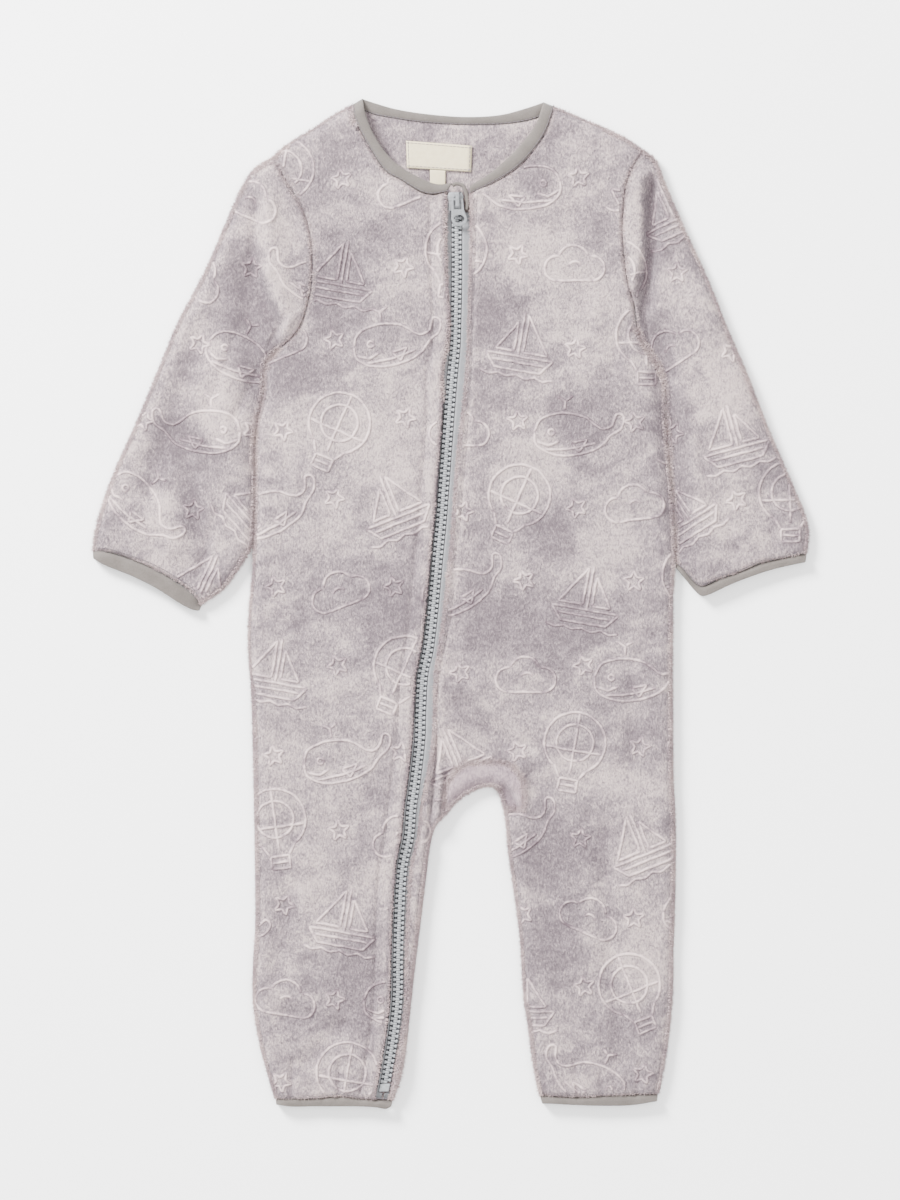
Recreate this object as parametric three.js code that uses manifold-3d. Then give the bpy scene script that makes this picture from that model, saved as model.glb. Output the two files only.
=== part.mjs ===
import * as THREE from 'three';
import Module from 'manifold-3d';

// A baby's zip-front fleece all-in-one, laid flat on its back with the legs and sleeves spread.
// Millimetres. +X is towards the wearer's left, +Y towards the neck, +Z up off the surface it lies on.
// "right" and "left" in every name are the wearer's own.

const wasm = await Module();
wasm.setup();

// Cloth
const WALL = 2.4; // fleece, with its pile
const SEAM = 0.3; // between neighbouring pieces
const EDGE_TOP = 2 * WALL + SEAM; // top of the front where it meets the back
const LOFT = 3.6; // how far the front stands above that edge
const ROLL = 9; // width of the rounding along a folded edge
const LIP_ROLL = 4; // the same on the narrow strip between zip and inner leg
const MOUTH_DROP = 1.2; // the front lies lower at a hem or cuff
const MOUTH_REACH = 16; // and this far in from it
const BINDING_WALL = 1.8; // doubled jersey at hems and cuffs
const NECK_BINDING = 3; // folded binding with the fleece edge inside
const LABEL_THICK = 1;

// Zip, moulded teeth, size 5
const TAPE_THICK = 1;
const TAPE_UNDER = 0.35; // air between tape and the fleece over it
const TAPE_TUCK = 3; // how far the tape goes under the fleece
const CHAIN_WIDTH = 6.5;
const CHAIN_THICK = 2.7;
const STOP_THICK = 3.4;
const STOP_WIDTH = 6.6;
const STOP_LENGTH = 5.2;
const SLIDER_LENGTH = 12.2;
const SLIDER_TOP_WIDTH = 10.6;
const SLIDER_FOOT_WIDTH = 8.6;
const SLIDER_PLATE = 1;
const BRIDGE_WIDTH = 2.4;
const BRIDGE_BAR = 1;
const TAB_THICK = 1.1;
const TAB_BAR = 1.2; // the pull tab's cross bar, along the garment
const TAB_LENGTH = 18;
const TAB_REACH = 6.5; // from the cross bar's middle to the far end of its window

const named = (columns, rows) =>
  rows.map((row) => Object.fromEntries(columns.split(' ').map((key, i) => [key, row[i]])));

// Edges that run down the garment: height and place across
const SIDE_RIGHT = named('y x', [
  [165, -112], [157.5, -119.5], [137, -121.5], [111.5, -126.5], [67, -127], [22, -128.5],
  [-4, -131], [-30, -131.5], [-56, -129.5], [-121, -127.5], [-176, -126.5], [-209, -126.5],
  [-251, -128.5], [-274, -126.5], [-298, -121], [-322, -114],
]);
const SIDE_LEFT = named('y x', [
  [178, 121], [165.5, 127], [153, 135.5], [142, 139], [122, 139.5], [97, 141.5], [77, 143.5],
  [49, 145.5], [26, 146], [2, 144.5], [-111, 144.5], [-144, 146], [-193, 145.5], [-225, 144.5],
  [-258, 144], [-290, 140.5], [-306, 138], [-319, 135],
]);
const INSEAM_RIGHT = named('y x', [
  [-133.5, -4.4], [-139, -5.3], [-145, -10], [-156, -13.5], [-176.5, -16.5], [-209, -20.5],
  [-241.5, -24.5], [-274, -28], [-289, -29.5], [-306, -32], [-319.5, -36], [-323, -37.5],
]);
const INSEAM_LEFT = named('y x', [
  [-134, 35], [-146, 36.5], [-163.5, 38], [-176.5, 40], [-209, 44.5], [-225, 46],
  [-258, 48], [-274, 50.5], [-290, 52.5], [-306.5, 55], [-320, 58],
]);
const OUTER_SLEEVE_RIGHT = named('y x', [
  [290.5, -116], [283, -127.5], [272.5, -135], [246, -146.5], [213.5, -161], [181, -178],
  [148.5, -191.5], [116, -205], [83.5, -219.5], [51, -230.5], [35, -233],
]);
const OUTER_SLEEVE_LEFT = named('y x', [
  [295, 126], [288.5, 133.5], [278, 137.5], [262.5, 144], [246, 151], [213.5, 166], [181, 179],
  [148.5, 193], [116, 205.5], [83.5, 219.5], [51, 232.5], [33, 232],
]);
// How far the sleeves' inner edges lie off the body's sides; the right one swings clear near its cuff
const BESIDE_RIGHT = named('y off', [
  [165, 0.9], [100, 0.9], [60, 0.9], [48, 1.2], [36, 2.2], [27.5, 6.7], [18, 12.4], [9.5, 18.1], [-1, 31.5],
]);
const BESIDE_LEFT = named('y off', [[178, 0.9], [100, 0.9], [50, 0.9], [26.5, 0.9]]);

// The zip: height, its middle, and how far off the fleece edges are on each side
const ZIP = named('y x toRight toLeft', [
  [268, 4, 6.3, 8.7], [236, 4, 6.3, 8.5], [210, 4, 5.6, 7.7], [186, 3.5, 3.8, 7.5],
  [168, 3, 4.2, 7.6], [152, 1.5, 5.8, 8.2], [128, -0.5, 3.8, 8], [94, -3, 3.8, 6.6],
  [54, -6, 3.8, 6.8], [28, -8.5, 3.8, 7], [-5, -11.5, 3.8, 6.5], [-30, -14.5, 3.9, 6.2],
  [-46, -18, 3.8, 7.2], [-71, -19.5, 3.8, 8], [-89, -20, 4.4, 7.6], [-116, -23, 4.3, 6.6],
  [-134, -25.5, 4.4, 6], [-152, -27, 4.5, 5.4], [-170, -31, 4, 5], [-198, -33, 4, 4.7],
  [-231, -34, 4.2, 4.5], [-258, -34.5, 4.4, 4.5], [-284, -37.5, 4.5, 4.5], [-310, -42, 4.5, 4.3],
  [-323, -44.5, 4.5, 4.3],
]);

// Edges that run across or curve: place across and height
const SHOULDER_RIGHT = named('x y', [
  [-116, 290.5], [-107, 298.5], [-89.5, 309], [-74.5, 319], [-64.3, 324.4],
]);
const SHOULDER_LEFT = named('x y', [[67.7, 323.4], [88.5, 314.5], [112, 304], [120, 299], [126, 295]]);
const ARMHOLE_RIGHT = named('x y', [
  [-112, 165], [-102, 174], [-97, 181.5], [-92.5, 196], [-90, 211.5], [-90.5, 235.5],
  [-95, 254], [-105, 272.5], [-116, 290.5],
]);
const ARMHOLE_LEFT = named('x y', [
  [121, 178], [118.5, 196], [114.7, 208], [112.5, 227], [111.5, 244.5], [112.5, 258.5],
  [114.5, 273.5], [119.5, 285.5], [126, 295],
]);
// The binding lies between the fleece edge and its own free edge
const NECK_RIGHT_FLEECE = named('x y', [
  [-2.3, 267.5], [-15.3, 266.2], [-33, 275.5], [-42, 281], [-52.5, 296.5], [-62, 315], [-64.3, 324.4],
]);
const NECK_RIGHT_FREE = named('x y', [
  [1, 273.3], [-8.8, 272.7], [-20.5, 277.2], [-35.4, 286.3], [-47, 300], [-54.5, 316], [-57.3, 328.6],
]);
const NECK_LEFT_FLEECE = named('x y', [
  [12.7, 266.5], [16, 268], [33, 276.5], [46.5, 286.3], [61.4, 305.8], [67.7, 323.4],
]);
const NECK_LEFT_FREE = named('x y', [
  [12.4, 271.5], [28.3, 281.8], [45.8, 298.7], [55.6, 312.3], [60.5, 326.4],
]);
const NECK_BACK_FLEECE = named('x y', [
  [-64.3, 324.4], [-51, 318.7], [-36, 315.8], [-20.5, 313.6],
  [10, 311.7], [42, 313], [57.5, 316.5], [67.7, 323.4],
]);
const NECK_BACK_FREE = named('x y', [
  [-57.3, 328.6], [-46, 325], [-35.5, 322.1], [-17.2, 319.1],
  [10.3, 317], [33, 318.4], [48, 322.3], [60.5, 326.4],
]);
const CUFF_RIGHT_SEAM = named('x y', [
  [-233, 35], [-224.5, 34], [-209.5, 29.5], [-194.5, 23.5], [-178.5, 14.5], [-168, 7], [-162, -1],
]);
const CUFF_RIGHT_EDGE = named('x y', [
  [-232.5, 29.5], [-226, 25.5], [-207.5, 18], [-191.5, 10], [-175, -0.5], [-168, -3.8], [-163.5, -4.5],
]);
const CUFF_LEFT_SEAM = named('x y', [
  [232, 33], [213.5, 29], [202, 26.5], [190, 21.3], [174.5, 16],
  [163, 11], [160, 12.5], [151.5, 22], [146.8, 26.5],
]);
const CUFF_LEFT_EDGE = named('x y', [
  [231, 27], [213, 23], [202, 19.8], [183, 12.7], [168, 5.8],
  [163.5, 4.9], [158.5, 9.2], [150.5, 19], [147, 23.2],
]);
const HEM_RIGHT_SEAM = named('x y', [
  [-114, -322], [-90.5, -322], [-72, -320.5], [-59, -322], [-49, -322.5], [-43, -323.2], [-37.5, -323],
]);
const HEM_RIGHT_EDGE = named('x y', [
  [-113.5, -325.6], [-105, -327], [-88, -327], [-62, -327], [-49, -327.5], [-42, -328.6], [-38.5, -327],
]);
const HEM_LEFT_SEAM = named('x y', [[58, -320], [82, -321], [107, -319.8], [135, -319]]);
const HEM_LEFT_EDGE = named('x y', [[59.5, -325], [90, -326.4], [118, -326.2], [134.5, -323.5]]);
const GUSSET_SEAM = named('x y', [
  [-4.4, -133.5], [-2.3, -117.5], [8.3, -105], [18.3, -103], [38, -104.7], [46.5, -114.6],
  [47.2, -122.5], [47.6, -133.5],
]);
const GUSSET_EDGE = named('x y', [
  [-5, -139], [2.8, -130], [11.2, -123.6], [18.3, -120],
  [25.7, -118.6], [30, -120.2], [32.5, -126], [35, -133.7],
]);

// Soft folds that show from a step away: a line, its half width, and its height above or below the cloth
const FOLDS = named('x0 y0 x1 y1 wide high', [
  [-119, 266, -106, 180, 8, 2.2], [-132, 217, -125, 132, 8, -2.2], [-150, 158, -141, 87, 9, 1.8],
  [-166, 165, -194, 74, 9, -1.8], [-174, 106, -161, 28, 7, -1.9], [-186, 80, -181, 38, 8, 1.3],
  [120, 275, 120, 204, 6, 1.6], [130, 269, 128, 197, 5, -2.8], [136, 171, 152, 41, 9, -2.8],
  [162, 197, 191, 87, 16, 1.4], [99, -149, 110, -297, 7, -1.3], [117, -54, 119, -102, 6, -1],
  [6, -63, 35, -92, 5, -1.2], [14, -54, 44, -84, 6, 1], [-104, -186, -113, -241, 6, -1.1],
  [-106, -266, -72, -275, 7, -1.3], [-72, -275, -93, -298, 6, -1.1], [-67, 215, -70, 178, 9, -1.2],
  [60, -170, 66, -215, 9, -1.2], [38, -125, 41, -133, 4, -3],
]);

// How the cells of each piece are spaced, finer where it rounds down to an edge
const RIGHT_ACROSS = [0, 0.03, 0.09, 0.18, 0.28, 0.38, 0.48, 0.58, 0.68, 0.78, 0.88, 0.95, 1];
const RIGHT_SHOULDER_CELLS = 4;
const LEFT_STRIP = [0, 0.02, 0.05, 0.09];
const LEFT_ARCH = [0.15, 0.21, 0.27, 0.33, 0.38, 0.42, 0.46];
const GUSSET_CELLS = LEFT_ARCH.length + 1;
const LEFT_LEG = [0.53, 0.62, 0.72, 0.82, 0.91, 0.97, 1];
const NECK_CELLS = { right: 8, left: 11, back: 14 };
const BACK_SHOULDER_CELLS = 6;
const STRIP_CELLS = [0, 0.35, 0.7, 1];
const LEG_CELLS = [0, 0.05, 0.1, 0.19, 0.32, 0.49, 0.67, 0.84, 0.95, 1];
const LEG_OWN_CELLS = 2; // beside the gusset's end, before those shared with the body
const SLEEVE_ACROSS = [0, 0.035, 0.1, 0.21, 0.35, 0.5, 0.65, 0.79, 0.9, 0.965, 1];
const BODY_ROWS = 19;
const LEG_ROWS = 12;
const RIGHT_ROWS = 30;
const SLEEVE_ROWS = 14;
const CROTCH = -133.5;

const even = (cells) => Array.from({ length: cells + 1 }, (_, i) => i / cells);
const mix = (a, b, t) => a + (b - a) * t;
const between = (p, q, t) => ({ x: mix(p.x, q.x, t), y: mix(p.y, q.y, t) });
const flipped = (points) => [...points].reverse();

// One column of a table as a smooth function of another
function rail(rows, column = 'x', along = 'y') {
  const ordered = [...rows].sort((a, b) => a[along] - b[along]);
  const last = ordered.length - 1;
  const slope = (i) => {
    const before = ordered[Math.max(i - 1, 0)];
    const after = ordered[Math.min(i + 1, last)];
    return (after[column] - before[column]) / (after[along] - before[along]);
  };
  return (place) => {
    const above = ordered.findIndex((row) => row[along] > place);
    const i = above < 0 ? last - 1 : Math.max(above - 1, 0);
    const span = ordered[i + 1][along] - ordered[i][along];
    const t = THREE.MathUtils.clamp((place - ordered[i][along]) / span, 0, 1);
    const start = (2 * t ** 3 - 3 * t ** 2 + 1) * ordered[i][column];
    const end = (3 * t ** 2 - 2 * t ** 3) * ordered[i + 1][column];
    const bend = (t ** 3 - 2 * t ** 2 + t) * slope(i) + (t ** 3 - t ** 2) * slope(i + 1);
    return start + end + bend * span;
  };
}

// Points down a rail between two heights, at the given shares
const down = (line, from, to, shares) =>
  shares.map((t) => ({ x: line(mix(from, to, t)), y: mix(from, to, t) }));

// Points on a smooth curve through a table's rows, at the given shares of its length
function trace(rows, shares) {
  const curve = new THREE.CatmullRomCurve3(rows.map(({ x, y }) => new THREE.Vector3(x, y, 0)));
  return shares.map((t) => {
    const point = curve.getPointAt(t);
    return { x: point.x, y: point.y };
  });
}

const side = {
  right: rail(SIDE_RIGHT),
  left: rail(SIDE_LEFT),
};
const inseam = {
  right: rail(INSEAM_RIGHT),
  left: rail(INSEAM_LEFT),
};
const zipMiddle = rail(ZIP);
const toRight = rail(ZIP, 'toRight');
const toLeft = rail(ZIP, 'toLeft');
const fleeceRight = (y) => zipMiddle(y) - toRight(y);
const fleeceLeft = (y) => zipMiddle(y) + toLeft(y);
const besideRight = rail(BESIDE_RIGHT, 'off');
const besideLeft = rail(BESIDE_LEFT, 'off');
const underSleeveRight = (y) => side.right(y) - besideRight(y);
const underSleeveLeft = (y) => side.left(y) + besideLeft(y);

// Where the cloth folds down to the surface, sampled for measuring distances
const SAMPLES = even(24);
const silhouettes = [
  down(side.right, 165, -322, even(60)),
  down(side.left, 178, -319, even(60)),
  down(inseam.right, -139, -323, SAMPLES),
  down(inseam.left, -134, -320, SAMPLES),
  down(rail(OUTER_SLEEVE_RIGHT), 290.5, 35, SAMPLES),
  down(rail(OUTER_SLEEVE_LEFT), 295, 33, SAMPLES),
  down(underSleeveRight, 165, -1, SAMPLES),
  down(underSleeveLeft, 178, 26.5, SAMPLES),
  trace(SHOULDER_RIGHT, even(8)),
  trace(SHOULDER_LEFT, even(8)),
  [SHOULDER_RIGHT.at(-1), NECK_RIGHT_FREE.at(-1)],
  [SHOULDER_LEFT[0], NECK_LEFT_FREE.at(-1)],
  trace(GUSSET_EDGE, even(16)),
];
const mouths = [CUFF_RIGHT_EDGE, CUFF_LEFT_EDGE, HEM_RIGHT_EDGE, HEM_LEFT_EDGE]
  .map((rows) => trace(rows, even(10)));

function toSegment(p, a, b) {
  const length = (b.x - a.x) ** 2 + (b.y - a.y) ** 2;
  const t = THREE.MathUtils.clamp(((p.x - a.x) * (b.x - a.x) + (p.y - a.y) * (b.y - a.y)) / length, 0, 1);
  return Math.hypot(p.x - mix(a.x, b.x, t), p.y - mix(a.y, b.y, t));
}

const toLines = (p, lines) =>
  Math.min(...lines.flatMap((line) => line.slice(1).map((point, i) => toSegment(p, line[i], point))));

// The height that one fold adds at a point, fading to nothing past its ends
function foldHeight(p, fold) {
  const a = { x: fold.x0, y: fold.y0 };
  const b = { x: fold.x1, y: fold.y1 };
  return fold.high * Math.exp(-((toSegment(p, a, b) / fold.wide) ** 2));
}

// Top of the front layer at any point of the garment
function top(p) {
  const lip = p.y < CROTCH && p.x > zipMiddle(p.y) && p.x < 0;
  const reach = Math.min(toLines(p, silhouettes) / (lip ? LIP_ROLL : ROLL), 1);
  const rounding = Math.sqrt(1 - (1 - reach) ** 2);
  const folds = FOLDS.reduce((sum, fold) => sum + foldHeight(p, fold), 0);
  const drop = MOUTH_DROP * Math.exp(-((toLines(p, mouths) / MOUTH_REACH) ** 2));
  return EDGE_TOP + Math.max(LOFT + folds - drop, 0.3) * rounding;
}

// A patch of points between four edges: rows go up the garment, columns towards the wearer's left
function patch(bottom, upper, rightEdge, leftEdge, across, up) {
  return up.map((v, j) =>
    across.map((u, i) => {
      const at = (key) => {
        const rows = mix(bottom[i][key], upper[i][key], v);
        const columns = mix(rightEdge[j][key], leftEdge[j][key], u);
        const low = mix(bottom[0][key], bottom.at(-1)[key], u);
        const high = mix(upper[0][key], upper.at(-1)[key], u);
        return rows + columns - mix(low, high, v);
      };
      return { x: at('x'), y: at('y') };
    }));
}

// Patches that share edges, as one list of points and cells
function net(patches) {
  const points = [];
  const found = new Map();
  const indexOf = (p) => {
    const key = `${p.x.toFixed(3)} ${p.y.toFixed(3)}`;
    if (!found.has(key)) found.set(key, points.push(p) - 1);
    return found.get(key);
  };
  const grids = patches.map((rows) => rows.map((row) => row.map(indexOf)));
  const cells = grids.flatMap((grid) =>
    grid.slice(1).flatMap((row, j) =>
      row.slice(1).map((_, i) => [grid[j][i], grid[j][i + 1], row[i + 1], row[i]])));
  return { points, cells, grids };
}

// The sides of cells that no other cell shares
function rim(cells) {
  const edges = cells.flatMap((cell) => cell.map((a, i) => [a, cell[(i + 1) % cell.length]]));
  const used = new Set(edges.map(([a, b]) => `${a} ${b}`));
  return edges.filter(([a, b]) => !used.has(`${b} ${a}`));
}

// A corner moved to the inner side of the two edges that meet there
function drawnIn(before, p, after, distance) {
  const first = new THREE.Vector2(p.y - before.y, before.x - p.x).normalize();
  const second = new THREE.Vector2(after.y - p.y, p.x - after.x).normalize();
  const outward = first.add(second);
  const length = Math.max(outward.length(), 0.7);
  const step = (2 * distance) / length ** 2;
  return { x: p.x - outward.x * step, y: p.y - outward.y * step };
}

function drawNetIn({ points, cells, grids }, depth) {
  const area = cells.flatMap((cell) => cell.map((a, i) => [points[a], points[cell[(i + 1) % cell.length]]]))
    .reduce((sum, [a, b]) => sum + a.x * b.y - b.x * a.y, 0);
  const distance = depth * Math.sign(area);
  const next = new Map(rim(cells));
  const before = new Map(rim(cells).map(([a, b]) => [b, a]));
  const moved = points.map((p, i) =>
    next.has(i) ? drawnIn(points[before.get(i)], p, points[next.get(i)], distance) : p);
  return { points: moved, cells, grids };
}

// One patch with its outline drawn in, to leave half a seam's gap
function fitted(rows) {
  const { points, grids } = drawNetIn(net([rows]), SEAM / 2);
  return grids[0].map((row) => row.map((i) => points[i]));
}

function geometryOf(positions, triangles) {
  const corners = triangles.map((triangle) => triangle.map((i) => positions[i]));
  const volume = corners.reduce((sum, [a, b, c]) => sum + a.dot(new THREE.Vector3().crossVectors(b, c)), 0);
  const facing = volume > 0 ? triangles : triangles.map(([a, b, c]) => [a, c, b]);
  const geometry = new THREE.BufferGeometry();
  const values = positions.flatMap((p) => p.toArray());
  geometry.setAttribute('position', new THREE.Float32BufferAttribute(values, 3));
  geometry.setIndex(facing.flat());
  return geometry;
}

// A closed wall between an outer and an inner surface that share the same cells
function wallOf(cells, outer, inner) {
  const count = outer.length;
  const corners = [...outer, ...inner];
  const quads = [
    ...cells,
    ...cells.map((cell) => [...cell].reverse().map((i) => i + count)),
    ...rim(cells).map(([a, b]) => [a, a + count, b + count, b]),
  ];
  const halves = ([a, b, c, d]) => {
    const turned = corners[b].distanceTo(corners[d]) < corners[a].distanceTo(corners[c]) - 0.01;
    return turned ? [[b, c, d], [b, d, a]] : [[a, b, c], [a, c, d]];
  };
  return geometryOf(corners, quads.flatMap(halves));
}

const raised = (p, z) => new THREE.Vector3(p.x, p.y, z);

// A front panel: its top follows the garment's, its inside lies one wall lower
function panel(patches) {
  const { points, cells } = drawNetIn(net(patches), SEAM / 2);
  return wallOf(cells, points.map((p) => raised(p, top(p))), points.map((p) => raised(p, top(p) - WALL)));
}

// A flattened tube, open at both ends: rows of points across it, first and last on its folds
function tube(rows, wall, sunk = 0) {
  const columns = rows[0].length;
  const ring = 2 * columns - 2;
  const outer = [];
  const inner = [];
  for (const row of rows) {
    for (let k = 0; k < ring; k += 1) {
      const i = k < columns ? k : ring - k;
      const p = row[i];
      const folded = i === 0 || i === columns - 1;
      const over = k < columns;
      const height = top(p) - sunk;
      if (folded) {
        const inside = i === 0 ? row[1] : row[columns - 2];
        const length = Math.hypot(inside.x - p.x, inside.y - p.y);
        const middle = (EDGE_TOP - sunk) / 2;
        outer.push(raised(p, middle));
        inner.push(raised(between(p, inside, Math.min(wall / length, 0.8)), middle));
      } else {
        outer.push(raised(p, over ? height : 0));
        inner.push(raised(p, over ? height - wall : wall));
      }
    }
  }
  const cells = [];
  for (let j = 0; j + 1 < rows.length; j += 1) {
    for (let k = 0; k < ring; k += 1) {
      const next = (k + 1) % ring;
      cells.push([j * ring + k, j * ring + next, (j + 1) * ring + next, (j + 1) * ring + k]);
    }
  }
  return wallOf(cells, outer, inner);
}

// A flat piece of even thickness
function slab(points, thick, z) {
  const shape = new THREE.Shape(points.map(({ x, y }) => new THREE.Vector2(x, y)));
  return new THREE.ExtrudeGeometry(shape, { depth: thick, bevelEnabled: false }).translate(0, 0, z);
}

function frontRight() {
  const armpit = SIDE_RIGHT[0];
  const corner = { x: fleeceRight(armpit.y), y: armpit.y };
  const hem = rail(HEM_RIGHT_SEAM, 'y', 'x');
  const hemEnd = fleeceRight(-322);
  const hemLine = RIGHT_ACROSS.map((u) => mix(-114, hemEnd, u)).map((x) => ({ x, y: hem(x) }));
  const waist = RIGHT_ACROSS.map((u) => between(armpit, corner, u));
  const crown = [
    ...trace(SHOULDER_RIGHT, even(RIGHT_SHOULDER_CELLS)),
    ...flipped(trace(NECK_RIGHT_FLEECE, even(NECK_CELLS.right))).slice(1),
  ];
  const rows = even(RIGHT_ROWS);
  const lower = patch(
    hemLine, waist,
    down(side.right, hemLine[0].y, armpit.y, rows), down(fleeceRight, hemLine.at(-1).y, armpit.y, rows),
    RIGHT_ACROSS, rows);
  const upper = patch(
    waist, crown,
    trace(ARMHOLE_RIGHT, SLEEVE_ACROSS), down(fleeceRight, armpit.y, crown.at(-1).y, SLEEVE_ACROSS),
    RIGHT_ACROSS, SLEEVE_ACROSS);
  return panel([lower, upper]);
}

function frontLeft() {
  const across = [...LEFT_STRIP, ...LEFT_ARCH, ...LEFT_LEG];
  const armpit = SIDE_LEFT[0];
  const corner = { x: fleeceLeft(170), y: 170 };
  const waist = across.map((u) => between(corner, armpit, u));
  const crown = [
    ...trace(NECK_LEFT_FLEECE, even(NECK_CELLS.left)),
    ...trace(SHOULDER_LEFT, even(across.length - 1 - NECK_CELLS.left)).slice(1),
  ];
  const bodyRows = even(BODY_ROWS);
  const legRows = even(LEG_ROWS);

  // Bottom of the body: strip beside the zip, arch over the gusset, then the leg
  const gusset = trace(GUSSET_SEAM, even(GUSSET_CELLS));
  const zipCorner = { x: fleeceLeft(gusset[1].y), y: gusset[1].y };
  const strip = STRIP_CELLS.map((u) => between(zipCorner, gusset[1], u));
  const [inner] = INSEAM_LEFT;
  const outer = { x: side.left(CROTCH), y: CROTCH };
  const reach = outer.x - inner.x;
  const legTop = LEG_CELLS.map((u) => ({ x: inner.x + reach * u, y: CROTCH }));
  legTop[0] = inner;
  legTop[LEG_OWN_CELLS] = gusset.at(-1);
  const arch = [...strip, ...gusset.slice(2), ...legTop.slice(LEG_OWN_CELLS + 1)];

  const body = patch(
    arch, waist,
    down(fleeceLeft, zipCorner.y, corner.y, bodyRows), down(side.left, CROTCH, armpit.y, bodyRows),
    across, bodyRows);
  const chest = patch(
    waist, crown,
    down(fleeceLeft, corner.y, crown[0].y, SLEEVE_ACROSS), trace(ARMHOLE_LEFT, SLEEVE_ACROSS),
    across, SLEEVE_ACROSS);
  const zipFoot = { x: fleeceLeft(-322.5), y: -322.5 };
  const stripHem = STRIP_CELLS.map((u) => between(zipFoot, INSEAM_RIGHT.at(-1), u));
  const stripLeg = patch(
    stripHem, strip,
    [...down(fleeceLeft, stripHem[0].y, CROTCH, legRows), zipCorner],
    [...down(inseam.right, stripHem.at(-1).y, CROTCH, legRows), gusset[1]],
    STRIP_CELLS, even(LEG_ROWS + 1));
  const hem = rail(HEM_LEFT_SEAM, 'y', 'x');
  const hemLine = LEG_CELLS.map((u) => mix(HEM_LEFT_SEAM[0].x, HEM_LEFT_SEAM.at(-1).x, u))
    .map((x) => ({ x, y: hem(x) }));
  const leg = patch(
    hemLine, legTop,
    down(inseam.left, hemLine[0].y, inner.y, legRows), down(side.left, hemLine.at(-1).y, CROTCH, legRows),
    LEG_CELLS, legRows);
  return panel([body, chest, stripLeg, leg]);
}

// The back lies flat on the surface and is one piece from neck to hems
function back() {
  const legRows = even(LEG_ROWS);
  const outline = [
    ...trace(HEM_RIGHT_SEAM, even(8)),
    ...down(inseam.right, -322.5, CROTCH, legRows).slice(1),
    ...trace(GUSSET_SEAM, even(GUSSET_CELLS)).slice(1),
    ...down(inseam.left, -134, HEM_LEFT_SEAM[0].y, legRows),
    ...trace(HEM_LEFT_SEAM, even(5)).slice(1),
    ...down(side.left, HEM_LEFT_SEAM.at(-1).y, SIDE_LEFT[0].y, even(30)).slice(1),
    ...trace(ARMHOLE_LEFT, SLEEVE_ACROSS).slice(1),
    ...flipped(trace(SHOULDER_LEFT, even(BACK_SHOULDER_CELLS))).slice(1),
    ...flipped(trace(NECK_BACK_FLEECE, even(NECK_CELLS.back))).slice(1),
    ...flipped(trace(SHOULDER_RIGHT, even(BACK_SHOULDER_CELLS))).slice(1),
    ...flipped(trace(ARMHOLE_RIGHT, SLEEVE_ACROSS)).slice(1),
    ...down(side.right, SIDE_RIGHT[0].y, -322, even(30)).slice(1, -1),
  ];
  const count = outline.length;
  const pulled = outline.map((p, i) =>
    drawnIn(outline[(i + count - 1) % count], p, outline[(i + 1) % count], SEAM / 2));
  return slab(pulled, WALL, 0);
}

// A line's points as shares along the straight line between its ends, and distances off it
function fromChord(line) {
  const start = new THREE.Vector2(line[0].x, line[0].y);
  const chord = new THREE.Vector2(line.at(-1).x, line.at(-1).y).sub(start);
  const length = chord.length();
  return line.map(({ x, y }) => {
    const p = new THREE.Vector2(x, y).sub(start);
    return { along: p.dot(chord) / length ** 2, off: p.cross(chord) / length };
  });
}

// Rows across a sleeve: each spans from its outer to its under edge and takes less of the armhole's
// curve and more of the cuff's the further down it lies
function sleeve(armholeLine, cuffLine, outer, under) {
  const armhole = fromChord(armholeLine);
  const cuff = fromChord(cuffLine);
  const rows = outer.map((start, j) => {
    const v = j / SLEEVE_ROWS;
    const end = under[j];
    const length = Math.hypot(end.x - start.x, end.y - start.y);
    return SLEEVE_ACROSS.map((u, i) => {
      const high = (1 - v) ** (1 + 8 * u);
      const low = v ** 4;
      const along = u * (1 - high - low) + armhole[i].along * high + cuff[i].along * low;
      const off = (armhole[i].off * high + cuff[i].off * low) / length;
      const p = between(start, end, along);
      return { x: p.x + off * (end.y - start.y), y: p.y - off * (end.x - start.x) };
    });
  });
  return tube(fitted(rows), WALL);
}

const outerShares = even(SLEEVE_ROWS);
const underShares = outerShares.map((v) => v ** 1.5);

function sleeveRight() {
  return sleeve(
    flipped(trace(ARMHOLE_RIGHT, SLEEVE_ACROSS)), trace(CUFF_RIGHT_SEAM, SLEEVE_ACROSS),
    down(rail(OUTER_SLEEVE_RIGHT), 290.5, 35, outerShares), down(underSleeveRight, 165, -1, underShares));
}

function sleeveLeft() {
  return sleeve(
    flipped(trace(ARMHOLE_LEFT, SLEEVE_ACROSS)), trace(CUFF_LEFT_SEAM, SLEEVE_ACROSS),
    down(rail(OUTER_SLEEVE_LEFT), 295, 33, outerShares), down(underSleeveLeft, 178, 26.5, underShares));
}

// A binding at the mouth of a sleeve or leg
function mouthBinding(seamRows, edgeRows, start) {
  const seam = trace(seamRows, SLEEVE_ACROSS);
  const edge = trace(edgeRows, SLEEVE_ACROSS);
  const rows = [start, 0.5, 1].map((t) => seam.map((p, i) => between(p, edge[i], t)));
  return tube(fitted(rows), BINDING_WALL, 0.4);
}

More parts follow.
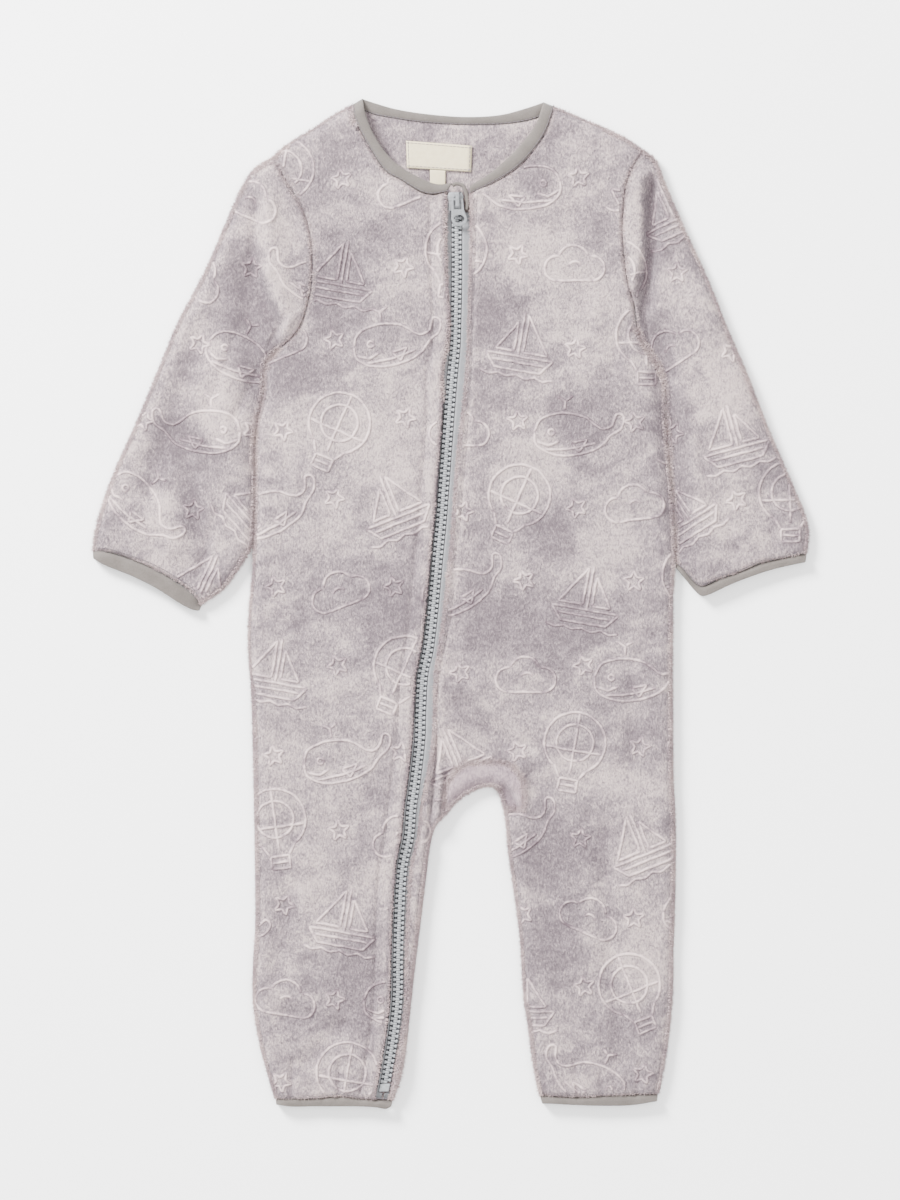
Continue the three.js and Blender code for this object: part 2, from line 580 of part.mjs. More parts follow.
// The crotch gusset: a crescent on the front that folds round the edge to the back
function gusset() {
  const stations = even(GUSSET_CELLS);
  const seam = trace(GUSSET_SEAM, stations);
  const edge = trace(GUSSET_EDGE, stations);
  const shares = [0, 0.35, 0.7, 0.9, 1];
  const rows = fitted(seam.map((p, j) => shares.map((t) => between(p, edge[j], t))));
  const outer = [];
  const inner = [];
  for (const row of rows) {
    const over = row.slice(0, -1);
    const fold = row.at(-1);
    const width = Math.hypot(fold.x - row[0].x, fold.y - row[0].y);
    outer.push(...over.map((p) => raised(p, top(p))), raised(fold, WALL + SEAM / 2));
    outer.push(...flipped(over).map((p) => raised(p, 0)));
    inner.push(...over.map((p) => raised(p, top(p) - WALL)));
    inner.push(raised(between(fold, row[0], Math.min(WALL / width, 0.5)), WALL + SEAM / 2));
    inner.push(...flipped(over).map((p) => raised(p, WALL)));
  }
  const ring = 2 * shares.length - 1;
  const cells = stations.slice(1).flatMap((_, j) =>
    even(ring - 1).slice(1).map((_unused, k) =>
      [j * ring + k, j * ring + k + 1, (j + 1) * ring + k + 1, (j + 1) * ring + k]));
  return wallOf(cells, outer, inner);
}

// The neck binding: one strip from the zip over one shoulder, along the back neck and down the other side
function neckBinding() {
  const outer = [];
  const inner = [];
  const shares = [0, 0.5, 1];
  const run = (fleece, free, over, turns) => {
    const rows = fitted(fleece.map((p, j) => shares.map((t) => between(p, free[j], t))));
    rows.forEach((row, j) => {
      const turning = turns.includes(j);
      const beyond = rows[j === 0 ? 1 : j - 1];
      row.forEach((p, i) => {
        const crown = i === 1 ? 0.4 : 0;
        const step = Math.hypot(beyond[i].x - p.x, beyond[i].y - p.y);
        const inside = turning ? between(p, beyond[i], WALL / step) : p;
        const frontUnder = turning ? EDGE_TOP - 2.25 : top(p) - NECK_BINDING + crown;
        const backOver = turning ? 2.5 : NECK_BINDING - 0.2 + crown;
        const frontOver = turning ? EDGE_TOP : top(p) + crown;
        outer.push(raised(p, over ? frontOver : 0));
        inner.push(raised(inside, over ? frontUnder : backOver));
      });
    });
  };
  const { right, left, back: behind } = NECK_CELLS;
  run(trace(NECK_RIGHT_FLEECE, even(right)), trace(NECK_RIGHT_FREE, even(right)), true, [right]);
  run(trace(NECK_BACK_FLEECE, even(behind)), trace(NECK_BACK_FREE, even(behind)), false, [0, behind]);
  run(flipped(trace(NECK_LEFT_FLEECE, even(left))), flipped(trace(NECK_LEFT_FREE, even(left))), true, [0]);
  const across = shares.length;
  const cells = even(outer.length / across - 1).slice(1).flatMap((_, j) =>
    [0, 1].map((k) => [j * across + k, j * across + k + 1, (j + 1) * across + k + 1, (j + 1) * across + k]));
  return wallOf(cells, outer, inner);
}

// Middle height of the zip at a height up the garment
const zipPlane = (y) => top({ x: zipMiddle(y), y }) - WALL - TAPE_UNDER - TAPE_THICK / 2;
const ZIP_TOP = 262;
const ZIP_FOOT = -312;
const TAPE_FOOT = -322.2;
const TAPE_TOP = { right: 266, left: 254.5 }; // the left one ends under the guard
const zipHeights = (end) => [...even(44).map((t) => mix(ZIP_FOOT, 266, t)).filter((y) => y < end - 3), end];

// A strip that follows the zip between two distances from its middle
function zipStrip(heights, near, far, thick) {
  const rows = heights.map((y) =>
    [near(y), far(y)].sort((a, b) => a - b).map((x) => ({ x: zipMiddle(y) + x, y })));
  const cells = rows.slice(1).map((_, j) => [2 * j, 2 * j + 1, 2 * j + 3, 2 * j + 2]);
  const points = rows.flat();
  const level = points.map((p) => zipPlane(p.y));
  const face = (side) => points.map((p, i) => raised(p, level[i] + (side * thick) / 2));
  return wallOf(cells, face(1), face(-1));
}

// The tapes close up to each other below the stop
function tape(sign, end) {
  const foot = ZIP_FOOT - STOP_LENGTH - SEAM;
  const nearEdge = (y) => sign * (y < foot - 0.5 ? 0.7 : CHAIN_WIDTH / 2 + SEAM + 0.1);
  const edge = sign < 0 ? toRight : toLeft;
  const onLip = (y) => sign > 0 && y < CROTCH + 20;
  const farEdge = (y) => sign * (edge(y) + (onLip(y) ? -SEAM - 0.05 : TAPE_TUCK));
  return zipStrip([TAPE_FOOT, foot - 0.6, foot - 0.3, ...zipHeights(end)], nearEdge, farEdge, TAPE_THICK);
}

function chain() {
  const half = CHAIN_WIDTH / 2;
  return zipStrip(zipHeights(ZIP_TOP), () => -half, () => half, CHAIN_THICK);
}

function zipStop() {
  const width = STOP_WIDTH / 2;
  const y = ZIP_FOOT - SEAM - STOP_LENGTH / 2;
  const lean = zipMiddle(y + 5) - zipMiddle(y - 5);
  const corners = [[-1, -1], [1, -1], [1, 1], [-1, 1]].map(([a, b]) => ({
    x: zipMiddle(y) + a * width + (b * lean * STOP_LENGTH) / 20,
    y: y + (b * STOP_LENGTH) / 2,
  }));
  return slab(corners, STOP_THICK, zipPlane(y) - STOP_THICK / 2);
}

function solidOf(geometry) {
  const flat = geometry.index ? geometry.toNonIndexed() : geometry;
  const values = flat.getAttribute('position').array;
  const found = new Map();
  const vertices = [];
  const triangles = [];
  for (let i = 0; i < values.length; i += 3) {
    const corner = [values[i], values[i + 1], values[i + 2]];
    const key = corner.map((value) => value.toFixed(4)).join(' ');
    if (!found.has(key)) {
      found.set(key, vertices.length / 3);
      vertices.push(...corner);
    }
    triangles.push(found.get(key));
  }
  return new wasm.Manifold(new wasm.Mesh({
    numProp: 3,
    vertProperties: new Float32Array(vertices),
    triVerts: new Uint32Array(triangles),
  }));
}

function joined(geometries) {
  const solid = geometries.map(solidOf).reduce((sum, part) => sum.add(part));
  const mesh = solid.getMesh();
  const geometry = new THREE.BufferGeometry();
  geometry.setAttribute('position', new THREE.BufferAttribute(mesh.vertProperties, 3));
  geometry.setIndex(new THREE.BufferAttribute(mesh.triVerts, 1));
  return geometry;
}

// The slider: two plates joined by a post between the rows of teeth, with a bridge that holds the pull tab
const SLIDER = { x: 3.2, y: 261.4 };
const sliderPlane = zipPlane(SLIDER.y);
const PLATE_GAP = CHAIN_THICK / 2 + 0.35; // from the zip's middle to a plate's inner face
const plateTop = sliderPlane + PLATE_GAP + SLIDER_PLATE;
const BRIDGE_FEET = named('from to', [[256.9, 258.4], [265.7, 267.2]]);
const TAB_PIVOT = { x: 4.4, y: 262.6, z: plateTop + 1.15 };
const bridgeUnder = TAB_PIVOT.z + 1.15;

function slider() {
  const half = SLIDER_LENGTH / 2;
  const { x, y } = SLIDER;
  const plate = [
    [-SLIDER_FOOT_WIDTH / 2, -half], [SLIDER_FOOT_WIDTH / 2, -half], [SLIDER_FOOT_WIDTH / 2, -0.5],
    [SLIDER_TOP_WIDTH / 2, half - 3.2], [SLIDER_TOP_WIDTH / 2 - 1.2, half],
    [-SLIDER_TOP_WIDTH / 2 + 1.2, half],
    [-SLIDER_TOP_WIDTH / 2, half - 3.2], [-SLIDER_FOOT_WIDTH / 2, -0.5],
  ].map(([across, up]) => ({ x: x + across, y: y + up }));
  const post = [[-1.3, 1.9], [0, 1.2], [1.3, 1.9], [1.5, 5], [-1.5, 5]]
    .map(([across, up]) => ({ x: x + across, y: y + up }));
  const [low, high] = BRIDGE_FEET;
  const bridgeTop = bridgeUnder + BRIDGE_BAR;
  const arch = new THREE.Shape([
    [low.from, plateTop - 0.2], [low.to, plateTop - 0.2],
    [low.to + 0.3, bridgeUnder], [high.from - 0.3, bridgeUnder],
    [high.from, plateTop - 0.2], [high.to, plateTop - 0.2],
    [high.to, bridgeTop - 0.9], [high.to - 1.2, bridgeTop],
    [low.from + 1.2, bridgeTop], [low.from, bridgeTop - 0.9],
  ].map(([along, z]) => new THREE.Vector2(along, z)));
  const bridge = new THREE.ExtrudeGeometry(arch, { depth: BRIDGE_WIDTH, bevelEnabled: false })
    .applyMatrix4(new THREE.Matrix4().makeBasis(
      new THREE.Vector3(0, 1, 0), new THREE.Vector3(0, 0, 1), new THREE.Vector3(1, 0, 0)))
    .translate(TAB_PIVOT.x - BRIDGE_WIDTH / 2, 0, 0);
  return joined([
    slab(plate, SLIDER_PLATE, sliderPlane + PLATE_GAP),
    slab(plate, SLIDER_PLATE, sliderPlane - PLATE_GAP - SLIDER_PLATE),
    slab(post, 2 * PLATE_GAP + 0.4, sliderPlane - PLATE_GAP - 0.2),
    bridge,
  ]);
}

// The pull tab hangs from its cross bar under the bridge and lies down over the teeth
function pullTab() {
  const { x, y, z } = TAB_PIVOT;
  const shape = new THREE.Shape();
  const barEnd = 3.6;
  const foot = { x: 1.2, y: TAB_BAR / 2 - TAB_LENGTH + 5.1, r: 5.1 };
  shape.moveTo(-barEnd, TAB_BAR / 2);
  shape.lineTo(-barEnd - 0.2, -TAB_REACH);
  shape.absarc(foot.x, foot.y, foot.r, Math.PI, 2 * Math.PI, false);
  shape.lineTo(barEnd + 0.7, -TAB_REACH);
  shape.lineTo(barEnd, TAB_BAR / 2);
  const pane = [[-2.5, -TAB_BAR / 2], [2.5, -TAB_BAR / 2], [2.6, -TAB_REACH], [-2.3, -TAB_REACH]];
  shape.holes.push(new THREE.Path(pane.map(([across, up]) => new THREE.Vector2(across, up))));
  const ring = new THREE.Path();
  ring.absellipse(foot.x, foot.y - 0.4, 3.5, 2.6, 0, 2 * Math.PI, true);
  shape.holes.push(ring);
  return new THREE.ExtrudeGeometry(shape, { depth: TAB_THICK, bevelEnabled: false, curveSegments: 10 })
    .translate(x, y, z - TAB_THICK / 2);
}

// The guard: a folded band that curls over the head of the zip and down its left side
function zipGuard() {
  const band = named('x y', [[2, 272.4], [4.2, 273.2], [8.2, 271.6], [11, 266], [11.7, 259], [10.9, 255.6]]);
  const wide = 2.2;
  const line = trace(band, even(10));
  const inside = line.map((p, i) => {
    const before = line[Math.max(i - 1, 0)];
    const after = line[Math.min(i + 1, line.length - 1)];
    const step = wide / Math.hypot(after.x - before.x, after.y - before.y);
    return { x: p.x + (after.y - before.y) * step, y: p.y - (after.x - before.x) * step };
  });
  return slab([...line, ...flipped(inside)], 2, sliderPlane + TAPE_THICK / 2 + SEAM);
}

const LABEL = named('x y', [[-28.3, 283.7], [13.3, 281.1], [14, 298], [-28.9, 301.3]]);
const SIZE_TAB = named('x y', [[-13.3, 268], [-3.3, 268], [-3.3, 281.8], [-13.3, 282.4]]);

// Colours
const finish = (color, roughness) => new THREE.MeshStandardMaterial({ color, roughness, metalness: 0 });
const fleece = () => finish(0xbfb6b9, 0.95);
const jersey = () => finish(0xa8a39f, 0.85);
const tapeCloth = () => finish(0xa9adb2, 0.85);
const moulded = () => finish(0x9aa0a6, 0.45);

const garment = new THREE.Group();
function add(name, geometry, material) {
  const mesh = new THREE.Mesh(geometry, material);
  mesh.name = name;
  garment.add(mesh);
}

add('back', back(), fleece());
add('front_right', frontRight(), fleece());
add('front_left', frontLeft(), fleece());
add('sleeve_right', sleeveRight(), fleece());
add('sleeve_left', sleeveLeft(), fleece());
add('crotch_gusset', gusset(), fleece());
add('neck_binding', neckBinding(), jersey());
add('cuff_binding_right', mouthBinding(CUFF_RIGHT_SEAM, CUFF_RIGHT_EDGE, 0.03), jersey());
add('cuff_binding_left', mouthBinding(CUFF_LEFT_SEAM, CUFF_LEFT_EDGE, 0), jersey());
add('hem_binding_right', mouthBinding(HEM_RIGHT_SEAM, HEM_RIGHT_EDGE, 0.04), jersey());
add('hem_binding_left', mouthBinding(HEM_LEFT_SEAM, HEM_LEFT_EDGE, 0.04), jersey());
add('zip_tape_right', tape(-1, TAPE_TOP.right), tapeCloth());
add('zip_tape_left', tape(1, TAPE_TOP.left), tapeCloth());
add('zip_chain', chain(), moulded());
add('zip_stop', zipStop(), moulded());
add('zip_slider', slider(), moulded());
add('pull_tab', pullTab(), moulded());
add('zip_guard', zipGuard(), fleece());
add('neck_label', slab(LABEL, LABEL_THICK, WALL + SEAM), finish(0xeae4d6, 0.8));
add('size_tab', slab(SIZE_TAB, LABEL_THICK, WALL + SEAM), finish(0xeae4d6, 0.8));

// The origin is the middle of the garment's box, on the surface it lies on
const box = new THREE.Box3().setFromObject(garment);
garment.position.set(-(box.min.x + box.max.x) / 2, -(box.min.y + box.max.y) / 2, -box.min.z);

export default garment;
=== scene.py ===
import math
import random

import bmesh
import bpy
import numpy as np
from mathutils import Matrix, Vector, noise
from mathutils.kdtree import KDTree


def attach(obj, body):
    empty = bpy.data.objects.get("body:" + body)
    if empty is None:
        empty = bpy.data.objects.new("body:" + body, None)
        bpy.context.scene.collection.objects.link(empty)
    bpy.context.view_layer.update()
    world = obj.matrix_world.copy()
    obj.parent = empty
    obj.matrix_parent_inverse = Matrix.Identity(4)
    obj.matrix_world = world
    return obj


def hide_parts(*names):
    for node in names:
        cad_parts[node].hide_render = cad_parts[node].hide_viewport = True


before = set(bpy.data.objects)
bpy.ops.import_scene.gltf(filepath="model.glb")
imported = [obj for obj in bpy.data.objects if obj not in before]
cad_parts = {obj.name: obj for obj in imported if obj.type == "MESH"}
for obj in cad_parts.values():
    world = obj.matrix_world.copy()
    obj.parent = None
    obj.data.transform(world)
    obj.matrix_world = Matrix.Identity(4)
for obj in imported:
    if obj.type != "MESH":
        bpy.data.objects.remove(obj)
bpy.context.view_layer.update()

# A baby's fleece all-in-one, laid flat. Tables are in millimetres and are turned to metres at the end.
# "right" and "left" are the wearer's own; +X is the wearer's left, +Y the neck.
MM = 0.001
SHIFT = np.array([0.333, -0.163])  # from the tables' origin to the middle of the outline

WALL = 2.4
SEAM = 0.3
EDGE_TOP = 2 * WALL + SEAM
LOFT = 3.6
FOLD_Z = 2.5  # height of the fold at a silhouette
ROLL, LIP_ROLL, UNDER_ROLL = 9, 4, 4  # how far the cloth takes to roll over a fold
MOUTH_DROP, MOUTH_REACH = 1.2, 16
# Thickness of the shells that are seen: fronts, sleeves and gusset, back, labels
CLOTH_SHOWN, THIN_SHOWN, BACK_SHOWN, LABEL_SHOWN = 1.5, 1.2, 1.85, 0.5
CELL = 1.5  # size of a cell across the fronts and sleeves
ROW_CELL, SLEEVE_ROW_CELL, BACK_CELL = CELL * 1.15, CELL * 1.1, 3
CROTCH = -133.5
ZIP_TOP, ZIP_FOOT = 262, -312
CHAIN_WIDTH = 6.5

# Edges down the garment: height and place across
SIDE_RIGHT = [
    (165, -112), (157.5, -119.5), (137, -121.5), (111.5, -126.5), (67, -127), (22, -128.5),
    (-4, -131), (-30, -131.5), (-56, -129.5), (-121, -127.5), (-176, -126.5), (-209, -126.5),
    (-251, -128.5), (-274, -126.5), (-298, -121), (-322, -114)]
SIDE_LEFT = [
    (178, 121), (165.5, 127), (153, 135.5), (142, 139), (122, 139.5), (97, 141.5), (77, 143.5),
    (49, 145.5), (26, 146), (2, 144.5), (-111, 144.5), (-144, 146), (-193, 145.5), (-225, 144.5),
    (-258, 144), (-290, 140.5), (-306, 138), (-319, 135)]
INSEAM_RIGHT = [
    (-133.5, -4.4), (-139, -5.3), (-145, -10), (-156, -13.5), (-176.5, -16.5), (-209, -20.5),
    (-241.5, -24.5), (-274, -28), (-289, -29.5), (-306, -32), (-319.5, -36), (-323, -37.5)]
INSEAM_LEFT = [
    (-134, 35), (-146, 36.5), (-163.5, 38), (-176.5, 40), (-209, 44.5), (-225, 46),
    (-258, 48), (-274, 50.5), (-290, 52.5), (-306.5, 55), (-320, 58)]
OUTER_SLEEVE_RIGHT = [
    (290.5, -116), (283, -127.5), (272.5, -135), (246, -146.5), (213.5, -161), (181, -178),
    (148.5, -191.5), (116, -205), (83.5, -219.5), (51, -230.5), (35, -233)]
OUTER_SLEEVE_LEFT = [
    (295, 126), (288.5, 133.5), (278, 137.5), (262.5, 144), (246, 151), (213.5, 166), (181, 179),
    (148.5, 193), (116, 205.5), (83.5, 219.5), (51, 232.5), (33, 232)]
# Between the sleeves' inner folds and the body: height and gap, and the left one's even gap
BESIDE_RIGHT = [
    (165, 0.9), (100, 0.9), (60, 0.9), (48, 1.2), (36, 2.2), (27.5, 6.7), (18, 12.4), (9.5, 18.1), (-1, 31.5)]
SLEEVE_GAP = 0.9
# The zip: height, its middle, and how far off the fleece edges are on each side
ZIP = [
    (268, 4, 6.3, 8.7), (236, 4, 6.3, 8.5), (210, 4, 5.6, 7.7), (186, 3.5, 3.8, 7.5),
    (168, 3, 4.2, 7.6), (152, 1.5, 5.8, 8.2), (128, -0.5, 3.8, 8), (94, -3, 3.8, 6.6),
    (54, -6, 3.8, 6.8), (28, -8.5, 3.8, 7), (-5, -11.5, 3.8, 6.5), (-30, -14.5, 3.9, 6.2),
    (-46, -18, 3.8, 7.2), (-71, -19.5, 3.8, 8), (-89, -20, 4.4, 7.6), (-116, -23, 4.3, 6.6),
    (-134, -25.5, 4.4, 6), (-152, -27, 4.5, 5.4), (-170, -31, 4, 5), (-198, -33, 4, 4.7),
    (-231, -34, 4.2, 4.5), (-258, -34.5, 4.4, 4.5), (-284, -37.5, 4.5, 4.5), (-310, -42, 4.5, 4.3),
    (-323, -44.5, 4.5, 4.3)]

# Edges that run across or curve: place across and height
SHOULDER_RIGHT = [(-116, 290.5), (-107, 298.5), (-89.5, 309), (-74.5, 319), (-64.3, 324.4)]
SHOULDER_LEFT = [(67.7, 323.4), (88.5, 314.5), (112, 304), (120, 299), (126, 295)]
ARMHOLE_RIGHT = [
    (-112, 165), (-102, 174), (-97, 181.5), (-92.5, 196), (-90, 211.5), (-90.5, 235.5),
    (-95, 254), (-105, 272.5), (-116, 290.5)]
ARMHOLE_LEFT = [
    (121, 178), (118.5, 196), (114.7, 208), (112.5, 227), (111.5, 244.5), (112.5, 258.5),
    (114.5, 273.5), (119.5, 285.5), (126, 295)]
NECK_RIGHT_FLEECE = [
    (-2.3, 267.5), (-15.3, 266.2), (-33, 275.5), (-42, 281), (-52.5, 296.5), (-62, 315), (-64.3, 324.4)]
NECK_RIGHT_FREE = [
    (1, 273.3), (-8.8, 272.7), (-20.5, 277.2), (-35.4, 286.3), (-47, 300), (-54.5, 316), (-57.3, 328.6)]
NECK_LEFT_FLEECE = [(12.7, 266.5), (16, 268), (33, 276.5), (46.5, 286.3), (61.4, 305.8), (67.7, 323.4)]
NECK_LEFT_FREE = [(12.4, 271.5), (28.3, 281.8), (45.8, 298.7), (55.6, 312.3), (60.5, 326.4)]
NECK_BACK_FLEECE = [
    (-64.3, 324.4), (-51, 318.7), (-36, 315.8), (-20.5, 313.6), (10, 311.7), (42, 313), (57.5, 316.5),
    (67.7, 323.4)]
NECK_BACK_FREE = [
    (-57.3, 328.6), (-46, 325), (-35.5, 322.1), (-17.2, 319.1), (10.3, 317), (33, 318.4), (48, 322.3),
    (60.5, 326.4)]
CUFF_RIGHT_SEAM = [
    (-233, 35), (-224.5, 34), (-209.5, 29.5), (-194.5, 23.5), (-178.5, 14.5), (-168, 7), (-162, -1)]
CUFF_RIGHT_EDGE = [
    (-232.5, 29.5), (-226, 25.5), (-207.5, 18), (-191.5, 10), (-175, -0.5), (-168, -3.8), (-163.5, -4.5)]
CUFF_LEFT_SEAM = [
    (232, 33), (213.5, 29), (202, 26.5), (190, 21.3), (174.5, 16), (163, 11), (160, 12.5), (151.5, 22),
    (146.8, 26.5)]
CUFF_LEFT_EDGE = [
    (231, 27), (213, 23), (202, 19.8), (183, 12.7), (168, 5.8), (163.5, 4.9), (158.5, 9.2), (150.5, 19),
    (147, 23.2)]
HEM_RIGHT_SEAM = [
    (-114, -322), (-90.5, -322), (-72, -320.5), (-59, -322), (-49, -322.5), (-43, -323.2), (-37.5, -323)]
HEM_RIGHT_EDGE = [
    (-113.5, -325.6), (-105, -327), (-88, -327), (-62, -327), (-49, -327.5), (-42, -328.6), (-38.5, -327)]
HEM_LEFT_SEAM = [(58, -320), (82, -321), (107, -319.8), (135, -319)]
HEM_LEFT_EDGE = [(59.5, -325), (90, -326.4), (118, -326.2), (134.5, -323.5)]
GUSSET_SEAM = [
    (-4.4, -133.5), (-2.3, -117.5), (8.3, -105), (18.3, -103), (38, -104.7), (46.5, -114.6),
    (47.2, -122.5), (47.6, -133.5)]
GUSSET_EDGE = [
    (-5, -139), (2.8, -130), (11.2, -123.6), (18.3, -120), (25.7, -118.6), (30, -120.2), (32.5, -126),
    (35, -133.7)]

# The solids' soft folds: a line, its half width, and its height
FOLDS = [
    (-119, 266, -106, 180, 8, 2.2), (-132, 217, -125, 132, 8, -2.2), (-150, 158, -141, 87, 9, 1.8),
    (-166, 165, -194, 74, 9, -1.8), (-174, 106, -161, 28, 7, -1.9), (-186, 80, -181, 38, 8, 1.3),
    (120, 275, 120, 204, 6, 1.6), (130, 269, 128, 197, 5, -2.8), (136, 171, 152, 41, 9, -2.8),
    (162, 197, 191, 87, 16, 1.4), (99, -149, 110, -297, 7, -1.3), (117, -54, 119, -102, 6, -1),
    (6, -63, 35, -92, 5, -1.2), (14, -54, 44, -84, 6, 1), (-104, -186, -113, -241, 6, -1.1),
    (-106, -266, -72, -275, 7, -1.3), (-72, -275, -93, -298, 6, -1.1), (-67, 215, -70, 178, 9, -1.2),
    (60, -170, 66, -215, 9, -1.2), (38, -125, 41, -133, 4, -3)]
# Smaller creases, in the same columns
CREASES = [
    (-118, 262, -118, 215, 4, 1.1), (-118, 215, -105, 184, 4, 1.3), (-128, 214, -114, 182, 4, -2.0),
    (-114, 163, -112, 176, 3, -1.6), (-126, 262, -129, 226, 3.5, -1.3),
    (-108, 186, -118, 168, 2.2, -1.1), (-99, 190, -112, 172, 2.5, 0.7), (-92, 200, -80, 176, 4, -0.6),
    (-125, 152, -141, 120, 3, -0.9), (-152, 60, -162, 22, 3, -1), (-200, 60, -192, 34, 4, -0.7),
    (-214, 64, -206, 40, 4, 0.6), (-146, 232, -163, 190, 5, 0.6), (-138, 178, -158, 128, 4, -0.8),
    (124, 277, 125, 233, 3, 1.0), (125, 233, 118, 205, 3, 1.0), (131, 275, 132, 233, 3, -2.6),
    (132, 233, 125.5, 203, 3.2, -2.6), (126, 190, 139, 150, 4, -2.4), (139, 150, 148, 118, 4, -1.4),
    (124, 190, 133, 164, 2.5, -1), (116, 182, 104, 150, 4, -0.6), (172, 70, 186, 34, 4, -0.8),
    (205, 76, 210, 40, 4, -0.6), (190, 150, 214, 96, 6, 0.6), (158, 108, 162, 58, 4, 0.8),
    (-72, -300, -73, -322, 2, -0.9), (-102, -298, -104, -320, 2.2, -0.9), (-88, -304, -86, -321, 2.4, 0.6),
    (61, -304, 62, -320, 2, -0.8), (81, -300, 83, -321, 2.2, -0.9), (97, -306, 98, -320, 2, -0.7),
    (123, -300, 121, -319, 2.2, -0.9), (110, -306, 111, -319, 2.2, 0.5),
    (-9, -88, -11, -115, 1.8, -1.8), (-11, -115, -14, -153, 1.8, -1.8), (-3, -111, -5, -136, 1.8, -1.8),
    (-6, -98, -8, -140, 1.6, 0.9), (0, -84, 20, -97, 3, -0.9), (52, -112, 66, -136, 4, -1),
    (34, -121, 41, -134, 3, -4), (45, -108, 50, -136, 3, 1.2), (40, -118, 46, -134, 2, 1.0),
    (50, -98, 74, -112, 4, 0.6), (30, -46, 62, -62, 5, -0.5), (-40, -60, -60, -120, 7, 0.5),
    (-58, -30, -96, -8, 8, -0.5), (-86, 96, -110, 70, 7, 0.5), (60, 8, 104, -20, 9, -0.5),
    (96, 196, 84, 150, 7, 0.6), (-34, 252, -60, 226, 6, -0.5), (38, 262, 66, 240, 6, -0.5),
    (-80, 300, -62, 270, 6, 0.5), (84, 300, 70, 262, 7, 0.5), (-120, -140, -96, -152, 6, -0.5),
    (70, -250, 92, -262, 6, -0.5), (64, -280, 78, -292, 5, 0.5), (-60, -180, -84, -196, 7, -0.5),
    (134, -20, 116, -44, 6, -0.6), (-122, 20, -104, -10, 6, -0.6)]
# Where the pile lies towards the light (1) or away from it (-1), and painted highlight on the sleeves' fold ridges
# with painted shade in their valleys and beside the body's edges: place, radius and amount
NAP_AND_PAINTED_SHADE = [
    (-54, 102, 26, 0.8), (63, 232, 22, 0.7), (37, 72, 16, 0.6), (67, 93, 14, 0.6), (97, 37, 18, 0.6),
    (-33, -2, 22, -0.7), (84, 115, 20, -0.7), (63, 46, 16, -0.7), (80, -11, 24, -0.6), (28, -15, 18, -0.7),
    (28, 184, 20, -0.6), (-67, 206, 18, -0.7), (-102, 150, 14, -0.7), (63, -158, 16, -0.8),
    (67, -223, 18, -0.7), (-84, 40, 22, 0.4), (-40, 210, 18, 0.5), (90, 180, 22, 0.4), (-70, -90, 26, 0.3),
    (-90, -190, 24, 0.4), (100, -120, 22, 0.4), (-60, -240, 24, -0.4), (118, -230, 22, 0.5),
    (-128, 246, 12, 0.7), (-136, 190, 16, -0.8), (-152, 122, 12, 0.8), (-176, 100, 14, -0.8),
    (-200, 90, 16, 0.3), (-168, 56, 12, -0.7), (-186, 60, 12, 0.6), (-158, 180, 12, 0.3),
    (120, 240, 10, 0.6), (134, 236, 9, -0.9), (146, 120, 10, -0.9), (176, 150, 18, 0.5),
    (200, 90, 16, -0.3), (176, 60, 14, 0.4), (156, 190, 14, 0.2), (132, 262, 5, -0.6), (133, 246, 6, -0.7),
    (131, 228, 6, -0.8), (127, 206, 8, -0.8), (128, 188, 8, -0.9), (132, 172, 8, -0.8), (138, 154, 8, -0.6),
    (-113, 238, 8, 0.6), (-112, 210, 7, 0.7), (-106, 193, 6, 0.7), (-128, 208, 8, -0.6), (-119, 188, 8, -0.8),
    (-132, 180, 8, -0.5), (-128, 155, 7, -0.7), (-182, 112, 9, -0.5), (-196, 78, 9, -0.4), (-168, 58, 8, -0.5)]


def even(cells):
    """Shares from 0 to 1, for that many cells."""
    return np.linspace(0, 1, cells + 1)


def falloff(far, width):
    """1 on a line, falling away over that width."""
    return np.exp(-((far / width) ** 2))


def running_length(points):
    """Length along a line of points, up to each of them."""
    return np.concatenate([[0], np.cumsum(np.linalg.norm(np.diff(points, axis=0), axis=1))])


def rail(rows, column=1):
    """One column of a table as a smooth function of its first."""
    table = np.array(sorted(rows), float)
    t, v = table[:, 0], table[:, column]
    slope = np.gradient(v, t)
    slope[1:-1] = (v[2:] - v[:-2]) / (t[2:] - t[:-2])

    def at(place):
        place = np.asarray(place, float)
        i = np.clip(np.searchsorted(t, place, side="right") - 1, 0, len(t) - 2)
        span = t[i + 1] - t[i]
        s = np.clip((place - t[i]) / span, 0, 1)
        ends = (2 * s**3 - 3 * s**2 + 1) * v[i] + (3 * s**2 - 2 * s**3) * v[i + 1]
        bends = (s**3 - 2 * s**2 + s) * slope[i] + (s**3 - s**2) * slope[i + 1]
        return ends + bends * span

    return at


def down(line, start, end, shares):
    """Points of an edge that runs down the garment, at shares of the way between two heights."""
    y = start + (end - start) * np.asarray(shares)
    return np.stack([line(y), y], -1)


def trace(rows, shares):
    """Points at the given shares of the length of a smooth curve through a table's rows."""
    p = np.array(rows, float)
    p = np.vstack([2 * p[0] - p[1], p, 2 * p[-1] - p[-2]])
    s = even(24)[:, None]
    dense = []
    for a, b, c, d in zip(p, p[1:], p[2:], p[3:]):
        e, f, g = (np.linalg.norm(q) ** 0.5 for q in (b - a, c - b, d - c))
        start = ((b - a) / e - (c - a) / (e + f) + (c - b) / f) * f
        end = ((c - b) / f - (d - b) / (f + g) + (d - c) / g) * f
        dense.append(b + start * s + (3 * (c - b) - 2 * start - end) * s**2
                     + (2 * (b - c) + start + end) * s**3)
    dense = np.vstack(dense)
    length = running_length(dense)
    at = np.asarray(shares) * length[-1]
    return np.stack([np.interp(at, length, dense[:, k]) for k in (0, 1)], -1)


